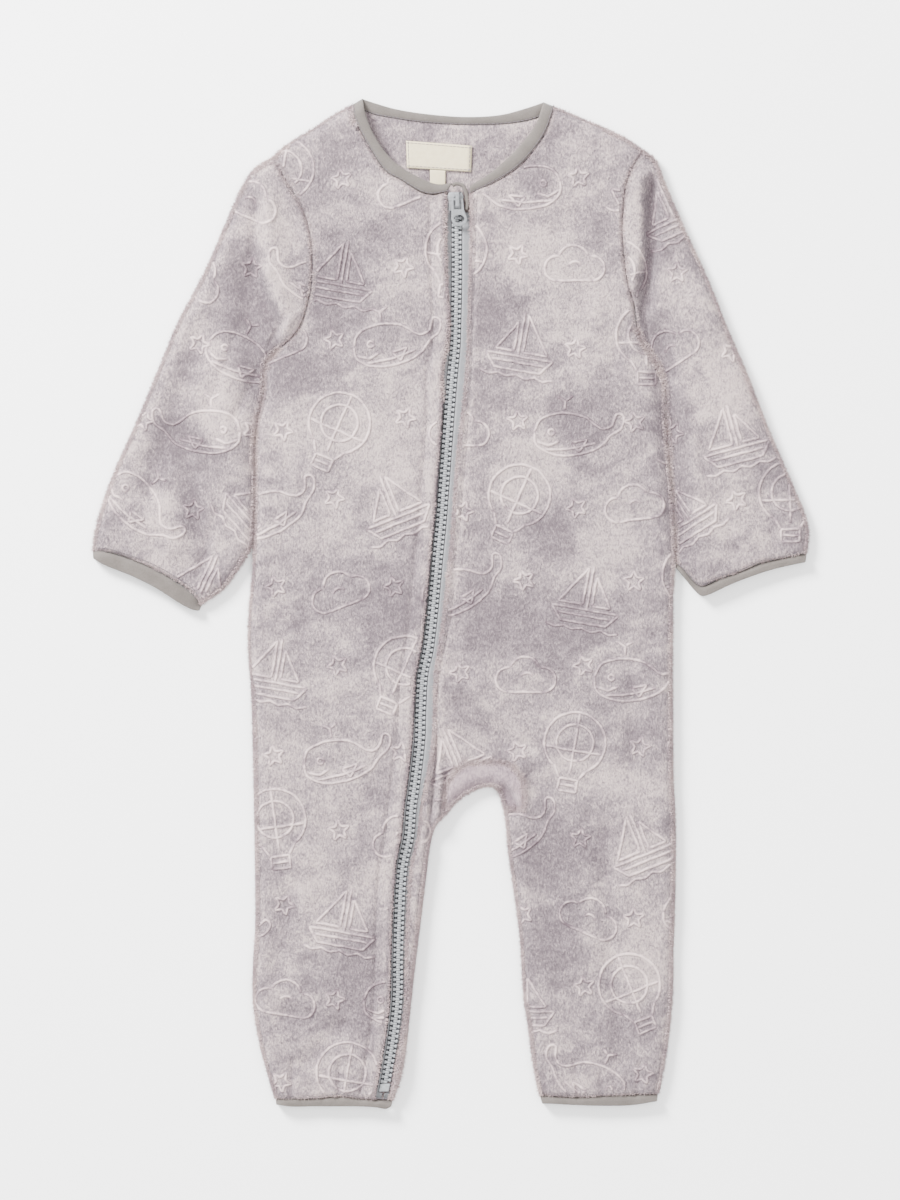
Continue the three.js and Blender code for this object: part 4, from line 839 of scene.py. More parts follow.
def back():
    """The back's grids: two legs, and two halves that share a line down the middle, low and high."""
    leg_rows = even(64)
    across = rounded_shares(80, BACK_CELL, start=True, end=True, roll=UNDER_ROLL)
    outer_right = np.array([side_right(CROTCH), CROTCH])
    outer_left = np.array([side_left(CROTCH), CROTCH])
    hem = on_hem(HEM_RIGHT_SEAM, -114, 76.5, across)
    top_right = between(outer_right, GUSSET_START, across)
    leg_right = patch(hem, top_right, down(side_right, hem[0, 1], CROTCH, leg_rows),
                      down(inseam_right, -323, CROTCH, leg_rows), across, leg_rows)
    top_left = between(GUSSET_END, outer_left, across)
    leg_top = np.vstack([between(INNER_END, GUSSET_END, even(6)), top_left[1:]])
    leg_across = np.concatenate([LEG_SHARE * even(6), LEG_SHARE + (1 - LEG_SHARE) * across[1:]])
    hem = on_hem(HEM_LEFT_SEAM, 58, 77, leg_across)
    leg_left = patch(hem, leg_top, down(inseam_left, hem[0, 1], -134, leg_rows),
                     down(side_left, hem[-1, 1], CROTCH, leg_rows), leg_across, leg_rows)
    # The middle line starts on the gusset's seam, at this share of it, and ends on the neck
    apex = 0.43
    gusset_right = trace(GUSSET_SEAM, apex * even(20))
    gusset_left = trace(GUSSET_SEAM, apex + (1 - apex) * even(20))
    up = even(100)
    foot, head = gusset_right[-1], (10, 312.5)
    middle = np.stack([head[0] + 8.3 * (1 - up), foot[1] + (head[1] - foot[1]) * up], -1)
    middle[0] = foot
    neck = trace(NECK_BACK_FLEECE, even(60))
    split = int(np.argmin(np.abs(neck[:, 0] - head[0])))
    middle[-1] = neck[split]
    low, shoulder = 62, 0.42  # rows up to the armholes, and share of a half's width under its shoulder
    up_low, up_high = even(low), even(len(up) - 1 - low)
    bottom_right = np.vstack([top_right, gusset_right[1:]])
    bottom_left = np.vstack([gusset_left, top_left[1:]])
    right, left = even(len(bottom_right) - 1), even(len(bottom_left) - 1)
    waist_right = between(ARMPIT_RIGHT, middle[low], right)
    waist_left = between(middle[low], ARMPIT_LEFT, left)
    low_right = patch(bottom_right, waist_right, down(side_right, CROTCH, 165, up_low), middle[:low + 1],
                      right, up_low)
    low_left = patch(bottom_left, waist_left, middle[:low + 1], down(side_left, CROTCH, 178, up_low),
                     left, up_low)
    cells = int(len(right) * shoulder)
    crown_right = np.vstack([trace(SHOULDER_RIGHT, even(cells)),
                             trace(neck[:split + 1], even(len(right) - 1 - cells))[1:]])
    cells = int(len(left) * shoulder)
    crown_left = np.vstack([trace(neck[split:], even(len(left) - 1 - cells)),
                            trace(SHOULDER_LEFT, even(cells))[1:]])
    high_right = patch(waist_right, crown_right, trace(ARMHOLE_RIGHT, up_high), middle[low:], right, up_high)
    high_left = patch(waist_left, crown_left, middle[low:], trace(ARMHOLE_LEFT, up_high), left, up_high)
    return [leg_right, leg_left, low_right, low_left, high_right, high_left]


back_grids = back()
BACK_Z, RIM_RISE = 1.9, 0.35  # the back lies flat, and its rim curls up to meet the front


def back_height(points):
    return BACK_Z + RIM_RISE * (1 - rolled(distance(points, silhouette), UNDER_ROLL))


pieces["back"] = paint(shell("back_cloth", back_grids, [back_height(g.reshape(-1, 2)) for g in back_grids],
                             thick=BACK_SHOWN, seed=9.0), fleece)

# Crotch gusset
gusset_rows = even(60)
gusset_shares = rounded_shares(16, 1.0, end=True, roll=6)
gusset_top, gusset_fold = trace(GUSSET_SEAM, gusset_rows), trace(GUSSET_EDGE, gusset_rows)
gusset_grid = (gusset_top[:, None] * (1 - gusset_shares[None, :, None])
               + gusset_fold[:, None] * gusset_shares[None, :, None])


def gusset():
    """A crescent that lies over the crotch and folds round under it."""
    rows, columns = gusset_grid.shape[:2]
    flat = gusset_grid.reshape(-1, 2)
    over = surface(flat).reshape(rows, columns)
    far = distance(flat, edges_of([gusset_fold])).reshape(rows, columns)
    # Soft ripples run beside its lower edge
    over += 0.35 * np.cos(far / 1.1) * np.exp(-far / 3.2)
    over[:, -1] = FOLD_Z
    under = under_face(flat, over.reshape(-1)).reshape(rows, columns)
    grid = np.concatenate([gusset_grid, gusset_grid[:, -2::-1]], 1)
    z = np.concatenate([over, under[:, -2::-1]], 1)
    return shell("gusset_cloth", [grid], [z], thick=THIN_SHOWN)


pieces["crotch_gusset"] = paint(gusset(), short_fleece)


# Bindings
def mouth_binding(name, seam_rows, edge_rows):
    shares = rounded_shares(80, 1.6, start=True, end=True, roll=5)
    seam, edge = trace(seam_rows, shares), trace(edge_rows, shares)
    steps = np.array([0.03, 0.15, 0.35, 0.6, 0.8, 0.93, 1.0])
    grid = seam[None] * (1 - steps[:, None, None]) + edge[None] * steps[:, None, None]
    return paint(tube(name, grid, 0.5, 1.0), jersey)


MOUTHS = {
    "cuff_binding_right": (CUFF_RIGHT_SEAM, CUFF_RIGHT_EDGE), "cuff_binding_left": (CUFF_LEFT_SEAM, CUFF_LEFT_EDGE),
    "hem_binding_right": (HEM_RIGHT_SEAM, HEM_RIGHT_EDGE), "hem_binding_left": (HEM_LEFT_SEAM, HEM_LEFT_EDGE)}
for node, (seam_rows, edge_rows) in MOUTHS.items():
    pieces[node] = mouth_binding(f"{node}_cloth", seam_rows, edge_rows)


def ribbon(name, stations, finish):
    """A closed band: at each station a ring of (x, y, z) points."""
    stations = np.array(stations)
    count, ring = stations.shape[:2]
    index = np.arange(count * ring).reshape(count, ring)
    turned = np.roll(index, -1, axis=1)
    faces = np.stack([index[:-1], turned[:-1], turned[1:], index[1:]], -1).reshape(-1, 4).tolist()
    faces += [index[0].tolist(), index[-1][::-1].tolist()]
    mesh = mesh_of(name, stations.reshape(-1, 3), faces)
    reshape(mesh, recalculate)
    finish_mesh(mesh)
    return paint(linked(name, mesh), finish)


NECK_BACK_Z, NECK_TURN_Z = 1.35, 3.0  # height of the binding's middle behind, and where it turns at the shoulders
NECK_HALF = 0.5  # half the thickness at its edges


def neck_binding():
    """A folded strip: over the right front's neck edge, along the back neck, and down the left front's."""
    right, behind, left = even(70), even(90), even(70)
    runs = [
        (trace(NECK_RIGHT_FLEECE, right), trace(NECK_RIGHT_FREE, right), True, [-1]),
        (trace(NECK_BACK_FLEECE, behind), trace(NECK_BACK_FREE, behind), False, [0, -1]),
        (trace(NECK_LEFT_FLEECE, left)[::-1], trace(NECK_LEFT_FREE, left)[::-1], True, [0])]
    steps = [0.03, 0.1, 0.3, 0.5, 0.7, 0.9, 0.99]
    crown = [0.0, 0.45, 0.75, 0.85, 0.75, 0.45, 0.0]
    stations = []
    for fleece_line, free_line, over, turns in runs:
        count = len(fleece_line)
        near_turn = np.zeros(count)
        for turn in turns:
            off = np.linalg.norm(fleece_line - fleece_line[turn], axis=1)
            near_turn = np.maximum(near_turn, np.clip(1 - off / 7, 0, 1))
        for k in range(count):
            points = np.array([fleece_line[k] * (1 - s) + free_line[k] * s for s in steps])
            ease = math.sqrt(1 - near_turn[k] ** 2)
            level = surface(points, False).mean() - 1.0 if over else NECK_BACK_Z
            middle = NECK_TURN_Z + (level - NECK_TURN_Z) * ease
            tops = [(*p, middle + NECK_HALF + c) for p, c in zip(points, crown)]
            unders = [(*p, max(middle - NECK_HALF - c * 0.6, 0.02)) for p, c in zip(points, crown)]
            stations.append(tops + unders[::-1])
    return ribbon("neck_binding_cloth", stations, jersey)


pieces["neck_binding"] = neck_binding()

# Zip


TAPE_GAP, TAPE_HALF = 0.35, 0.45  # from the chain to each tape, and half a tape's thickness
TAPE_LAP = 3  # how far a tape goes on under the fleece


def zip_level(y):
    """Height of the zip's middle, under the fleece edges beside it."""
    at = np.stack([zip_middle(y), y], -1).reshape(-1, 2)
    loft = LOFT + ridges(at, FOLDS) - MOUTH_DROP * falloff(distance(at, mouths), MOUTH_REACH)
    full = EDGE_TOP + np.maximum(loft, 0.3) * rolled(distance(at, silhouette), ROLL)
    return full - WALL - TAPE_GAP - 0.5


def zip_tape(name, sign, end):
    heights = np.concatenate([[-322.2, -318.6], np.linspace(-317.9, end, 300)])
    edge = to_right(heights) if sign < 0 else to_left(heights)
    on_lip = (sign > 0) & (heights < CROTCH + 20)
    far = sign * (edge + np.where(on_lip, -TAPE_GAP, TAPE_LAP))
    near = sign * np.where(heights < -318, 0.7, CHAIN_WIDTH / 2 + TAPE_GAP)
    level = zip_level(heights)
    cord = (0.35, 0.25, 0, 0, 0, 0)  # a woven cord stands up along the edge that holds the teeth
    stations = []
    for k, y in enumerate(heights):
        xs = zip_middle(y) + near[k] + (far[k] - near[k]) * even(5)
        tops = [(x, y, level[k] + TAPE_HALF + lift) for x, lift in zip(xs, cord)]
        unders = [(x, y, level[k] - TAPE_HALF) for x in xs]
        stations.append(tops + unders[::-1])
    return ribbon(name, stations, tape_cloth)


pieces["zip_tape_right"] = zip_tape("zip_tape_right_cloth", -1, 266)
pieces["zip_tape_left"] = zip_tape("zip_tape_left_cloth", 1, 254.5)


def line_object(name, points):
    """A bare line of points, for a modifier to follow."""
    return linked(name, mesh_of(name, points, [], [(i, i + 1) for i in range(len(points) - 1)]))


def new_tree(name, inputs):
    """A new geometry tree with the inputs named, and its input sockets."""
    tree = bpy.data.node_groups.new(name, "GeometryNodeTree")
    for key, kind in inputs.items():
        tree.interface.new_socket(key, in_out="INPUT", socket_type=f"NodeSocket{kind}")
    tree.interface.new_socket("Result", in_out="OUTPUT", socket_type="NodeSocketGeometry")
    return tree, tree.nodes.new("NodeGroupInput").outputs


def put_on_points(tree, given, points, shape, rotation, size):
    """Ends a tree: the shape on each point, made real and given its finish."""
    put = add(tree, "GeometryNodeInstanceOnPoints", {
        "Points": points, "Instance": shape, "Rotation": rotation, "Scale": size})
    real = add(tree, "GeometryNodeRealizeInstances", {"Geometry": put.outputs[0]})
    painted = add(tree, "GeometryNodeSetMaterial", {"Geometry": real.outputs[0], "Material": given["Finish"]})
    tree.links.new(painted.outputs[0], tree.nodes.new("NodeGroupOutput").inputs[0])
    return tree


def along_line_tree():
    """Repeats a small shape along a line, at a pitch, turned to follow it."""
    tree, given = new_tree("repeat_along_line", {
        "Line": "Geometry", "Shape": "Object", "Pitch": "Float", "Finish": "Material", "Unevenness": "Float",
        "Seed": "Int"})
    curve = add(tree, "GeometryNodeMeshToCurve", {"Mesh": given["Line"]})
    dots = add(tree, "GeometryNodeCurveToPoints", {
        "Curve": curve.outputs[0], "Length": given["Pitch"]}, mode="LENGTH")
    turned = add(tree, "FunctionNodeAlignEulerToVector", {"Vector": dots.outputs["Tangent"]},
                 axis="Y", pivot_axis="Z")
    shape = add(tree, "GeometryNodeObjectInfo", {"Object": given["Shape"]})
    least = maths(tree, "SUBTRACT", 1.0, given["Unevenness"])
    most = maths(tree, "ADD", 1.0, given["Unevenness"])
    size = add(tree, "FunctionNodeRandomValue", {2: least, 3: most, "Seed": given["Seed"]}, data_type="FLOAT")
    return put_on_points(tree, given, dots.outputs["Points"], shape.outputs["Geometry"], turned.outputs[0],
                         size.outputs[1])


along_line = along_line_tree()


def by_tree(piece, name, tree, values):
    """The piece as a tree's result, a plain mesh, with the tree's inputs set by their names."""
    modifier = piece.modifiers.new(name, "NODES")
    modifier.node_group = tree
    sockets = {item.name: item.identifier for item in tree.interface.items_tree if item.in_out == "INPUT"}
    for key, value in values.items():
        modifier[sockets[key]] = value
    return applied(piece)


def repeated(name, points, shape, pitch, finish, unevenness=0.0, seed=1):
    """The shape repeated along a line of points as a plain mesh."""
    piece = by_tree(line_object(name, points), "repeat", along_line, {
        "Shape": shape, "Pitch": pitch * MM, "Finish": finish, "Unevenness": unevenness, "Seed": seed})
    piece.data.shade_smooth()
    return piece


def small_shape(name, places, faces, bevel=0.0):
    """A small closed shape in millimetres, out of the scene, for repeating."""
    mesh = bpy.data.meshes.new(name)
    mesh.from_pydata([(x * MM, y * MM, z * MM) for x, y, z in places], [], faces)

    def ease(made):
        recalculate(made)
        if bevel:
            bmesh.ops.bevel(made, geom=made.edges, offset=bevel * MM, segments=1, affect="EDGES")

    reshape(mesh, ease)
    return bpy.data.objects.new(name, mesh)


def box_shape(name, x, y, z, bevel):
    """A block between three pairs of limits."""
    places = [(a, b, c) for a in x for b in y for c in z]
    faces = [(0, 1, 3, 2), (4, 6, 7, 5), (0, 4, 5, 1), (2, 3, 7, 6), (0, 2, 6, 4), (1, 5, 7, 3)]
    return small_shape(name, places, faces, bevel)


TOOTH_PITCH = 3.2
# A tooth's three blocks: how far from the middle of the chain each starts and ends, half its length
# along the tape, its lowest and highest, and its rounding
TOOTH = {
    "base": (2.0, CHAIN_WIDTH / 2, 1.1, -1.25, 1.3, 0.25), "neck": (0.7, 2.2, 0.7, -1.0, 1.05, 0.15),
    "head": (-1.2, 1.0, 0.72, -1.1, 1.3, 0.28)}
chain_y = np.linspace(ZIP_FOOT + 0.8, ZIP_TOP, 400)
chain_x, chain_z = zip_middle(chain_y), zip_level(chain_y)


def joined(name, parts):
    """Several meshes as one object."""
    made = bmesh.new()
    finishes = []
    for part in parts:
        start = len(made.faces)
        made.from_mesh(part.data)
        made.faces.ensure_lookup_table()
        for face in made.faces[start:]:
            finish = part.data.materials[face.material_index]
            if finish not in finishes:
                finishes.append(finish)
            face.material_index = finishes.index(finish)
    mesh = bpy.data.meshes.new(name)
    made.to_mesh(mesh)
    made.free()
    for finish in finishes:
        mesh.materials.append(finish)
    for part in parts:
        bpy.data.objects.remove(part)
    return linked(name, mesh)


def zip_chain():
    """Two rows of moulded teeth that mesh over a dark sheet of painted shade for the gaps between them, the left row
    half a pitch further on.
    """
    parts = []
    length = running_length(np.stack([chain_x, chain_y], -1))
    pitch = length[-1] / round(length[-1] / TOOTH_PITCH)
    for sign, start in ((-1, 0), (1, pitch / 2)):
        y = np.interp(np.linspace(start, length[-1] - start, 400), length, chain_y)
        line = np.stack([zip_middle(y), y, zip_level(y)], -1)
        for part, (near, far, reach, low, high, bevel) in TOOTH.items():
            shape = box_shape(f"tooth_{part}", sorted((sign * near, sign * far)), (-reach, reach), (low, high), bevel)
            parts.append(repeated(f"tooth_{part}_{sign}", line, shape, pitch * 0.999, teeth_plastic))
    # A dark sheet under the teeth: painted shade in the gaps between them.
    side = CHAIN_WIDTH / 2 - 0.25
    gap_shade_sheet = [[(x - side, y, z + 0.2), (x + side, y, z + 0.2), (x + side, y, z - 0.6), (x - side, y, z - 0.6)]
            for x, y, z in zip(chain_x, chain_y, chain_z)]
    parts.append(ribbon("zip_core", gap_shade_sheet, painted_tooth_gap_shade))
    return joined("zip_chain_teeth", parts)


pieces["zip_chain"] = zip_chain()


def softened(name, node, width, finish):
    """A copy of a hard solid with its edges eased."""
    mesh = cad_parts[node].data.copy()
    mesh.name = name
    mesh.materials.clear()

    def merge(made):
        bmesh.ops.remove_doubles(made, verts=made.verts, dist=0.002 * MM)
        bmesh.ops.dissolve_limit(made, angle_limit=0.02, verts=made.verts, edges=made.edges)

    reshape(mesh, merge)
    mesh.shade_smooth()
    piece = linked(name, mesh)
    ease = piece.modifiers.new("ease", "BEVEL")
    ease.width, ease.segments, ease.limit_method, ease.angle_limit = width * MM, 2, "ANGLE", 0.6
    ease.harden_normals = False
    return paint(applied(piece), finish)


for node, how, width, finish in (
        ("zip_stop", "moulded", 0.5, teeth_plastic), ("zip_slider", "cast", 0.22, slider_metal),
        ("pull_tab", "cast", 0.25, slider_metal)):
    pieces[node] = softened(f"{node}_{how}", node, width, finish)


# Zip guard: a folded band of fleece that curls over the head of the zip
def zip_guard():
    band = trace([(1.2, 271.6), (3.6, 272.9), (8.0, 271.6), (10.4, 266), (10.8, 259), (10.2, 256)], even(40))
    level = zip_level(np.array([261.0]))[0] + 1.85
    turns = 2 * math.pi * np.arange(12) / 12
    stations = []
    for k, (x, y) in enumerate(band):
        ahead, behind = band[min(k + 1, 40)], band[max(k - 1, 0)]
        way = (ahead - behind) / np.linalg.norm(ahead - behind)
        side = np.array([way[1], -way[0]])
        across, high = 1.25 * np.cos(turns), 1.05 * np.sin(turns)
        stations.append(np.column_stack([x + side[0] * across, y + side[1] * across, level + high]))
    return ribbon("zip_guard_cloth", stations, jersey)


pieces["zip_guard"] = zip_guard()


# Labels: their corners, and how far each bows up
LABEL_Z = 3.1
LABELS = {
    "neck_label": ([(-28.3, 283.7), (13.3, 281.1), (14, 298), (-28.9, 301.3)], 0.5),
    "size_tab": ([(-13.3, 268), (-3.3, 268), (-3.3, 281.8), (-13.3, 282.4)], 0.4)}


def bowed(u, v, bow):
    """How far a label stands up at shares of its width and height."""
    return bow * np.sin(u * math.pi) * (0.4 + 0.6 * np.sin(v * math.pi)) * 0.5


def label(name, corners, bow):
    """A soft woven label with a slight bow."""
    a, b, c, d = (np.array(p, float) for p in corners)
    u, v = np.meshgrid(even(14), even(14))
    across, up = u[..., None], v[..., None]
    grid = a * (1 - across) * (1 - up) + b * across * (1 - up) + c * across * up + d * (1 - across) * up
    return paint(shell(name, [grid], [LABEL_Z + bowed(u, v, bow)], thick=LABEL_SHOWN), label_cloth)


for node, (corners, bow) in LABELS.items():
    pieces[node] = label(f"{node}_cloth", corners, bow)

# Pressed line drawings: plain motifs as polylines in millimetres


def circle(x, y, radius, start=0, end=360):
    turns = np.radians(np.linspace(start, end, 25))
    return [(x + radius * math.cos(t), y + radius * math.sin(t)) for t in turns]


def box_line(x0, y0, x1, y1):
    return [(x0, y0), (x1, y0), (x1, y1), (x0, y1), (x0, y0)]


BALLOON = [
    circle(0, 9, 20, -55, 235), [(-11, -7), (-6, -15)], [(11, -7), (6, -15)], box_line(-6, -23, 6, -15),
    circle(0, 9, 12, 70, 290), circle(0, 9, 12, -70, 110), [(-19, 4), (19, 4)],
    [(0, 29), (0, -11)], [(-6, -19), (6, -19)]]
WHALE = [
    [(-28, 2), (-24, 10), (-12, 14), (4, 12), (16, 4), (22, 6), (26, 14), (30, 12), (28, 4), (22, 0), (14, -8),
     (-2, -13), (-18, -12), (-27, -6), (-28, 2)], circle(-17, 2, 2), [(-27, -4), (-19, -7), (-12, -4)],
    [(-8, 16), (-8, 22), (-13, 25)], [(-8, 22), (-3, 25)], [(-4, -5), (1, -11), (6, -3), (-4, -5)],
    [(-22, -10), (-4, -9), (12, -5)]]
BOAT = [
    [(-22, -7), (22, -7), (15, -16), (-15, -16), (-22, -7)], [(-1, -7), (-1, 22)],
    [(2, -4), (2, 20), (18, -4), (2, -4)],
    [(-4, -4), (-4, 15), (-16, -4), (-4, -4)], [(-18, -11), (18, -11)],
    [(-24, -19), (-18, -21), (-12, -19), (-6, -21), (0, -19), (6, -21), (12, -19), (18, -21), (24, -19)]]
CLOUD = [circle(-11, 0, 8, 80, 270), circle(0, 5, 10, 20, 160), circle(12, 0, 8, -90, 100), [(-11, -8), (12, -8)],
         circle(1, 0, 4.5, 30, 150)]
WHALE[0] = trace(WHALE[0], even(70)).tolist()
STAR = [[(7 * (1 if k % 2 == 0 else 0.45) * math.sin(math.radians(36 * k)),
          7 * (1 if k % 2 == 0 else 0.45) * math.cos(math.radians(36 * k))) for k in range(11)]]
MOTIFS = [BALLOON, CLOUD, WHALE, BOAT, STAR]
LINE_WIDE, LINE_HIGH, LINE_STEP = 2.7, 0.7, 1.4
UNDER_LINES = 0.0  # height of the lines under the garment, which its weight presses flat


def inside(points, outline):
    """Whether each point is in a closed outline."""
    x, y = points[:, :1], points[:, 1:]
    after = np.roll(outline, -1, axis=0)
    x0, y0, x1, y1 = outline[:, 0], outline[:, 1], after[:, 0], after[:, 1]
    with np.errstate(divide="ignore", invalid="ignore"):
        crossed = ((y0 > y) != (y1 > y)) & (x < (x1 - x0) * (y - y0) / (y1 - y0) + x0)
    return crossed.sum(1) % 2 == 1


def border(grid):
    return np.vstack([grid[0], grid[1:, -1], grid[-1, ::-1][1:], grid[::-1, 0][1:-1]])


def evened(line, step):
    """The line's points again, that far apart."""
    line = np.array(line, float)
    length = running_length(line)
    at = np.linspace(0, length[-1], max(int(length[-1] / step), 2) + 1)
    return np.stack([np.interp(at, length, line[:, k]) for k in (0, 1)], -1)


def pressed_lines(name, grids, spots, lean=0.0, under=False):
    """Raised lines of the motifs that fall on a piece, laid on its surface."""
    outlines = [border(grid)[::4] for grid in grids]
    places, faces, crest = [], [], []
    low, high = np.vstack(outlines).min(0) - 32, np.vstack(outlines).max(0) + 32
    for x, y, turn, kind, flip in spots:
        if not (low[0] < x < high[0] and low[1] < y < high[1]):
            continue
        angle = math.radians(turn + lean)
        c, s = math.cos(angle), math.sin(angle)
        for line in MOTIFS[kind]:
            line = evened([(flip * px, py) for px, py in line], LINE_STEP)
            line = np.stack([x + c * line[:, 0] - s * line[:, 1], y + s * line[:, 0] + c * line[:, 1]], -1)
            line += 0.35 * np.stack([wave(line, 6, 2.2), wave(line, 6, 8.8)], -1)
            way = np.gradient(line, axis=0)
            way /= np.maximum(np.linalg.norm(way, axis=1), 1e-6)[:, None]
            side = np.stack([way[:, 1], -way[:, 0]], -1)
            shown = np.zeros(len(line), bool)
            for outline in outlines:
                shown |= inside(line, outline)
            if not shown.any():
                continue
            shown &= under | (distance(line, zip_edges) > 3.0)
            shown &= (not under) | (distance(line, silhouette) > 4)
            shown &= distance(line, seams) > 2.6
            shown &= distance(line, silhouette) > 1.2
            profile = [(-1, -0.2), (-0.55, 0.45), (-0.15, 1), (0.25, 0.95), (0.6, 0.3), (1, -0.25)]
            columns = [line + side * across * LINE_WIDE / 2 for across, _ in profile]
            if under:
                heights = [np.full(len(column), UNDER_LINES - rise * 0.1)
                           for column, (_, rise) in zip(columns, profile)]
            else:
                heights = [surface(column) + rise * LINE_HIGH for column, (_, rise) in zip(columns, profile)]
            base = len(places)
            ends = np.minimum(np.arange(len(line)), np.arange(len(line))[::-1])
            fade = np.clip((ends + 0.3) / 2, 0, 1)
            for k in range(len(line)):
                for (across, rise), column, z in zip(profile, columns, heights):
                    place = z[k] if under else z[k] - (1 - fade[k]) * LINE_HIGH * max(rise, 0)
                    places.append((column[k, 0], column[k, 1], place))
                    # crest: how much of the painted highlight each point takes, most on the line's top.
                    crest.append(max(rise, 0) * fade[k])
            width = len(profile)
            for k in range(len(line) - 1):
                if shown[k] and shown[k + 1]:
                    for i in range(width - 1):
                        first = base + k * width + i
                        faces.append((first, first + 1, first + width + 1, first + width))
    mesh = bpy.data.meshes.new(name)
    places = (np.array(places) + [*SHIFT, 0]) * MM
    mesh.from_pydata(places.tolist(), [], faces)
    layer = mesh.attributes.new("crest", "FLOAT", "POINT")
    layer.data.foreach_set("value", np.array(crest, np.float32))
    made = bmesh.new()
    made.from_mesh(mesh)
    bmesh.ops.delete(made, geom=[v for v in made.verts if not v.link_faces], context="VERTS")
    made.to_mesh(mesh)
    made.free()
    if (sum(p.normal.z for p in mesh.polygons) < 0) != under:
        mesh.flip_normals()
    finish_mesh(mesh)
    return paint(linked(name, mesh), pressed)


pressed = ridge_material()


def spots_on(x_range, y_range, across, up, start):
    """Places for the motifs: rows set half a step to the side of each other, each turned a little."""
    picker = random.Random(start)
    found, kind, row = [], start, 0
    y = y_range[0]
    while y < y_range[1]:
        x = x_range[0] + (across / 2 if row % 2 else 0)
        while x < x_range[1]:
            found.append((x + picker.uniform(-5, 5), y + picker.uniform(-4, 4), picker.choice([-24, -10, 0, 8, 22]),
                          kind % 4, picker.choice([-1, 1])))
            found.append((x + across / 2 + picker.uniform(-4, 4), y + up * 0.1 + picker.uniform(-5, 5),
                          picker.uniform(-30, 30), 4, 1))
            kind += 1
            x += across
        y += up
        row += 1
        kind += 1
    return found


body_spots = spots_on((-150, 190), (-312, 318), 78, 53, 3)
lines = [
    pressed_lines("pressed_lines_front_right", front_right_grids, body_spots),
    pressed_lines("pressed_lines_front_left", front_left_grids, body_spots),
    pressed_lines("pressed_lines_sleeve_right", [sleeve_right_grid], spots_on((-240, -80), (10, 300), 74, 50, 6), -25),
    pressed_lines("pressed_lines_sleeve_left", [sleeve_left_grid], spots_on((110, 240), (10, 300), 74, 50, 8), 25),
    pressed_lines("pressed_lines_back", [grid[:, ::2] for grid in back_grids], body_spots, 0, True),
    pressed_lines("pressed_lines_under_sleeves", [sleeve_right_grid, sleeve_left_grid],
                  spots_on((-240, 240), (10, 300), 78, 50, 5), 15, True)]


# Stitches
def raised(points, lift):
    return np.column_stack([points, surface(points) + lift])


stitch = small_shape("stitch", [
    (x, y, z) for y, size in ((-1.15, 0.1), (-0.7, 0.24), (0.7, 0.24), (1.15, 0.1))
    for x, z in ((-size, 0), (0, size), (size, 0), (0, -size))],
    [(0, 1, 2, 3), (12, 15, 14, 13)] + [
        (4 * k + i, 4 * k + 4 + i, 4 * k + 4 + (i + 1) % 4, 4 * k + (i + 1) % 4) for k in range(3) for i in range(4)])

stitches = [repeated("topstitches_right", raised(topstitch_lines[0], 0.05), stitch, 3.2, dark_thread, 0.1, 2),
            repeated("topstitches_left", raised(topstitch_lines[1], 0.05), stitch, 3.2, dark_thread, 0.1, 3)]


def beside(rows, count, share, other):
    """A line between two tables' curves."""
    a, b = trace(rows, even(count)), trace(other, even(count))
    return a * (1 - share) + b * share


for name, fleece_rows, free_rows, share in (
        ("right", NECK_RIGHT_FLEECE, NECK_RIGHT_FREE, 0.12), ("left", NECK_LEFT_FLEECE, NECK_LEFT_FREE, 0.12)):
    line = beside(fleece_rows, 120, share, free_rows)
    z = surface(line, False) + 0.1
    stitches.append(repeated(f"neck_stitches_{name}", np.column_stack([line, z]), stitch, 2.7, dark_thread, 0.08, 4))
line = beside(NECK_BACK_FLEECE, 120, 0.1, NECK_BACK_FREE)[8:-8]
stitches.append(repeated("neck_stitches_back", np.column_stack([line, np.full(len(line), 2.55)]), stitch, 2.7,
                         dark_thread, 0.08, 5))
for name, seam_rows, edge_rows in (
        ("cuff_right", CUFF_RIGHT_SEAM, CUFF_RIGHT_EDGE), ("cuff_left", CUFF_LEFT_SEAM, CUFF_LEFT_EDGE),
        ("hem_right", HEM_RIGHT_SEAM, HEM_RIGHT_EDGE), ("hem_left", HEM_LEFT_SEAM, HEM_LEFT_EDGE)):
    line = beside(seam_rows, 90, -0.22, edge_rows)[5:-5]
    stitches.append(repeated(f"stitches_{name}", raised(line, 0.25), stitch, 2.7, dark_thread, 0.08, 6))
inset = 1.3
corners = np.array([(-28.3 + inset, 283.7 + inset), (13.3 - inset, 281.1 + inset), (14 - inset, 298 - inset),
                    (-28.9 + inset, 301.3 - inset)])
for k in range(4):
    a, b = corners[k], corners[(k + 1) % 4]
    line = a + (b - a) * even(30)[:, None]
    u = (line[:, 0] + 28.6) / 42.4
    v = np.clip((line[:, 1] - 282.5) / 17.2, 0, 1)
    z = 3.12 + 0.25 * np.sin(u * math.pi) * (0.4 + 0.6 * np.sin(v * math.pi))
    stitches.append(repeated(f"label_stitches_{k}", np.column_stack([line, z]), stitch, 2.5, thread, 0.05, 7 + k))


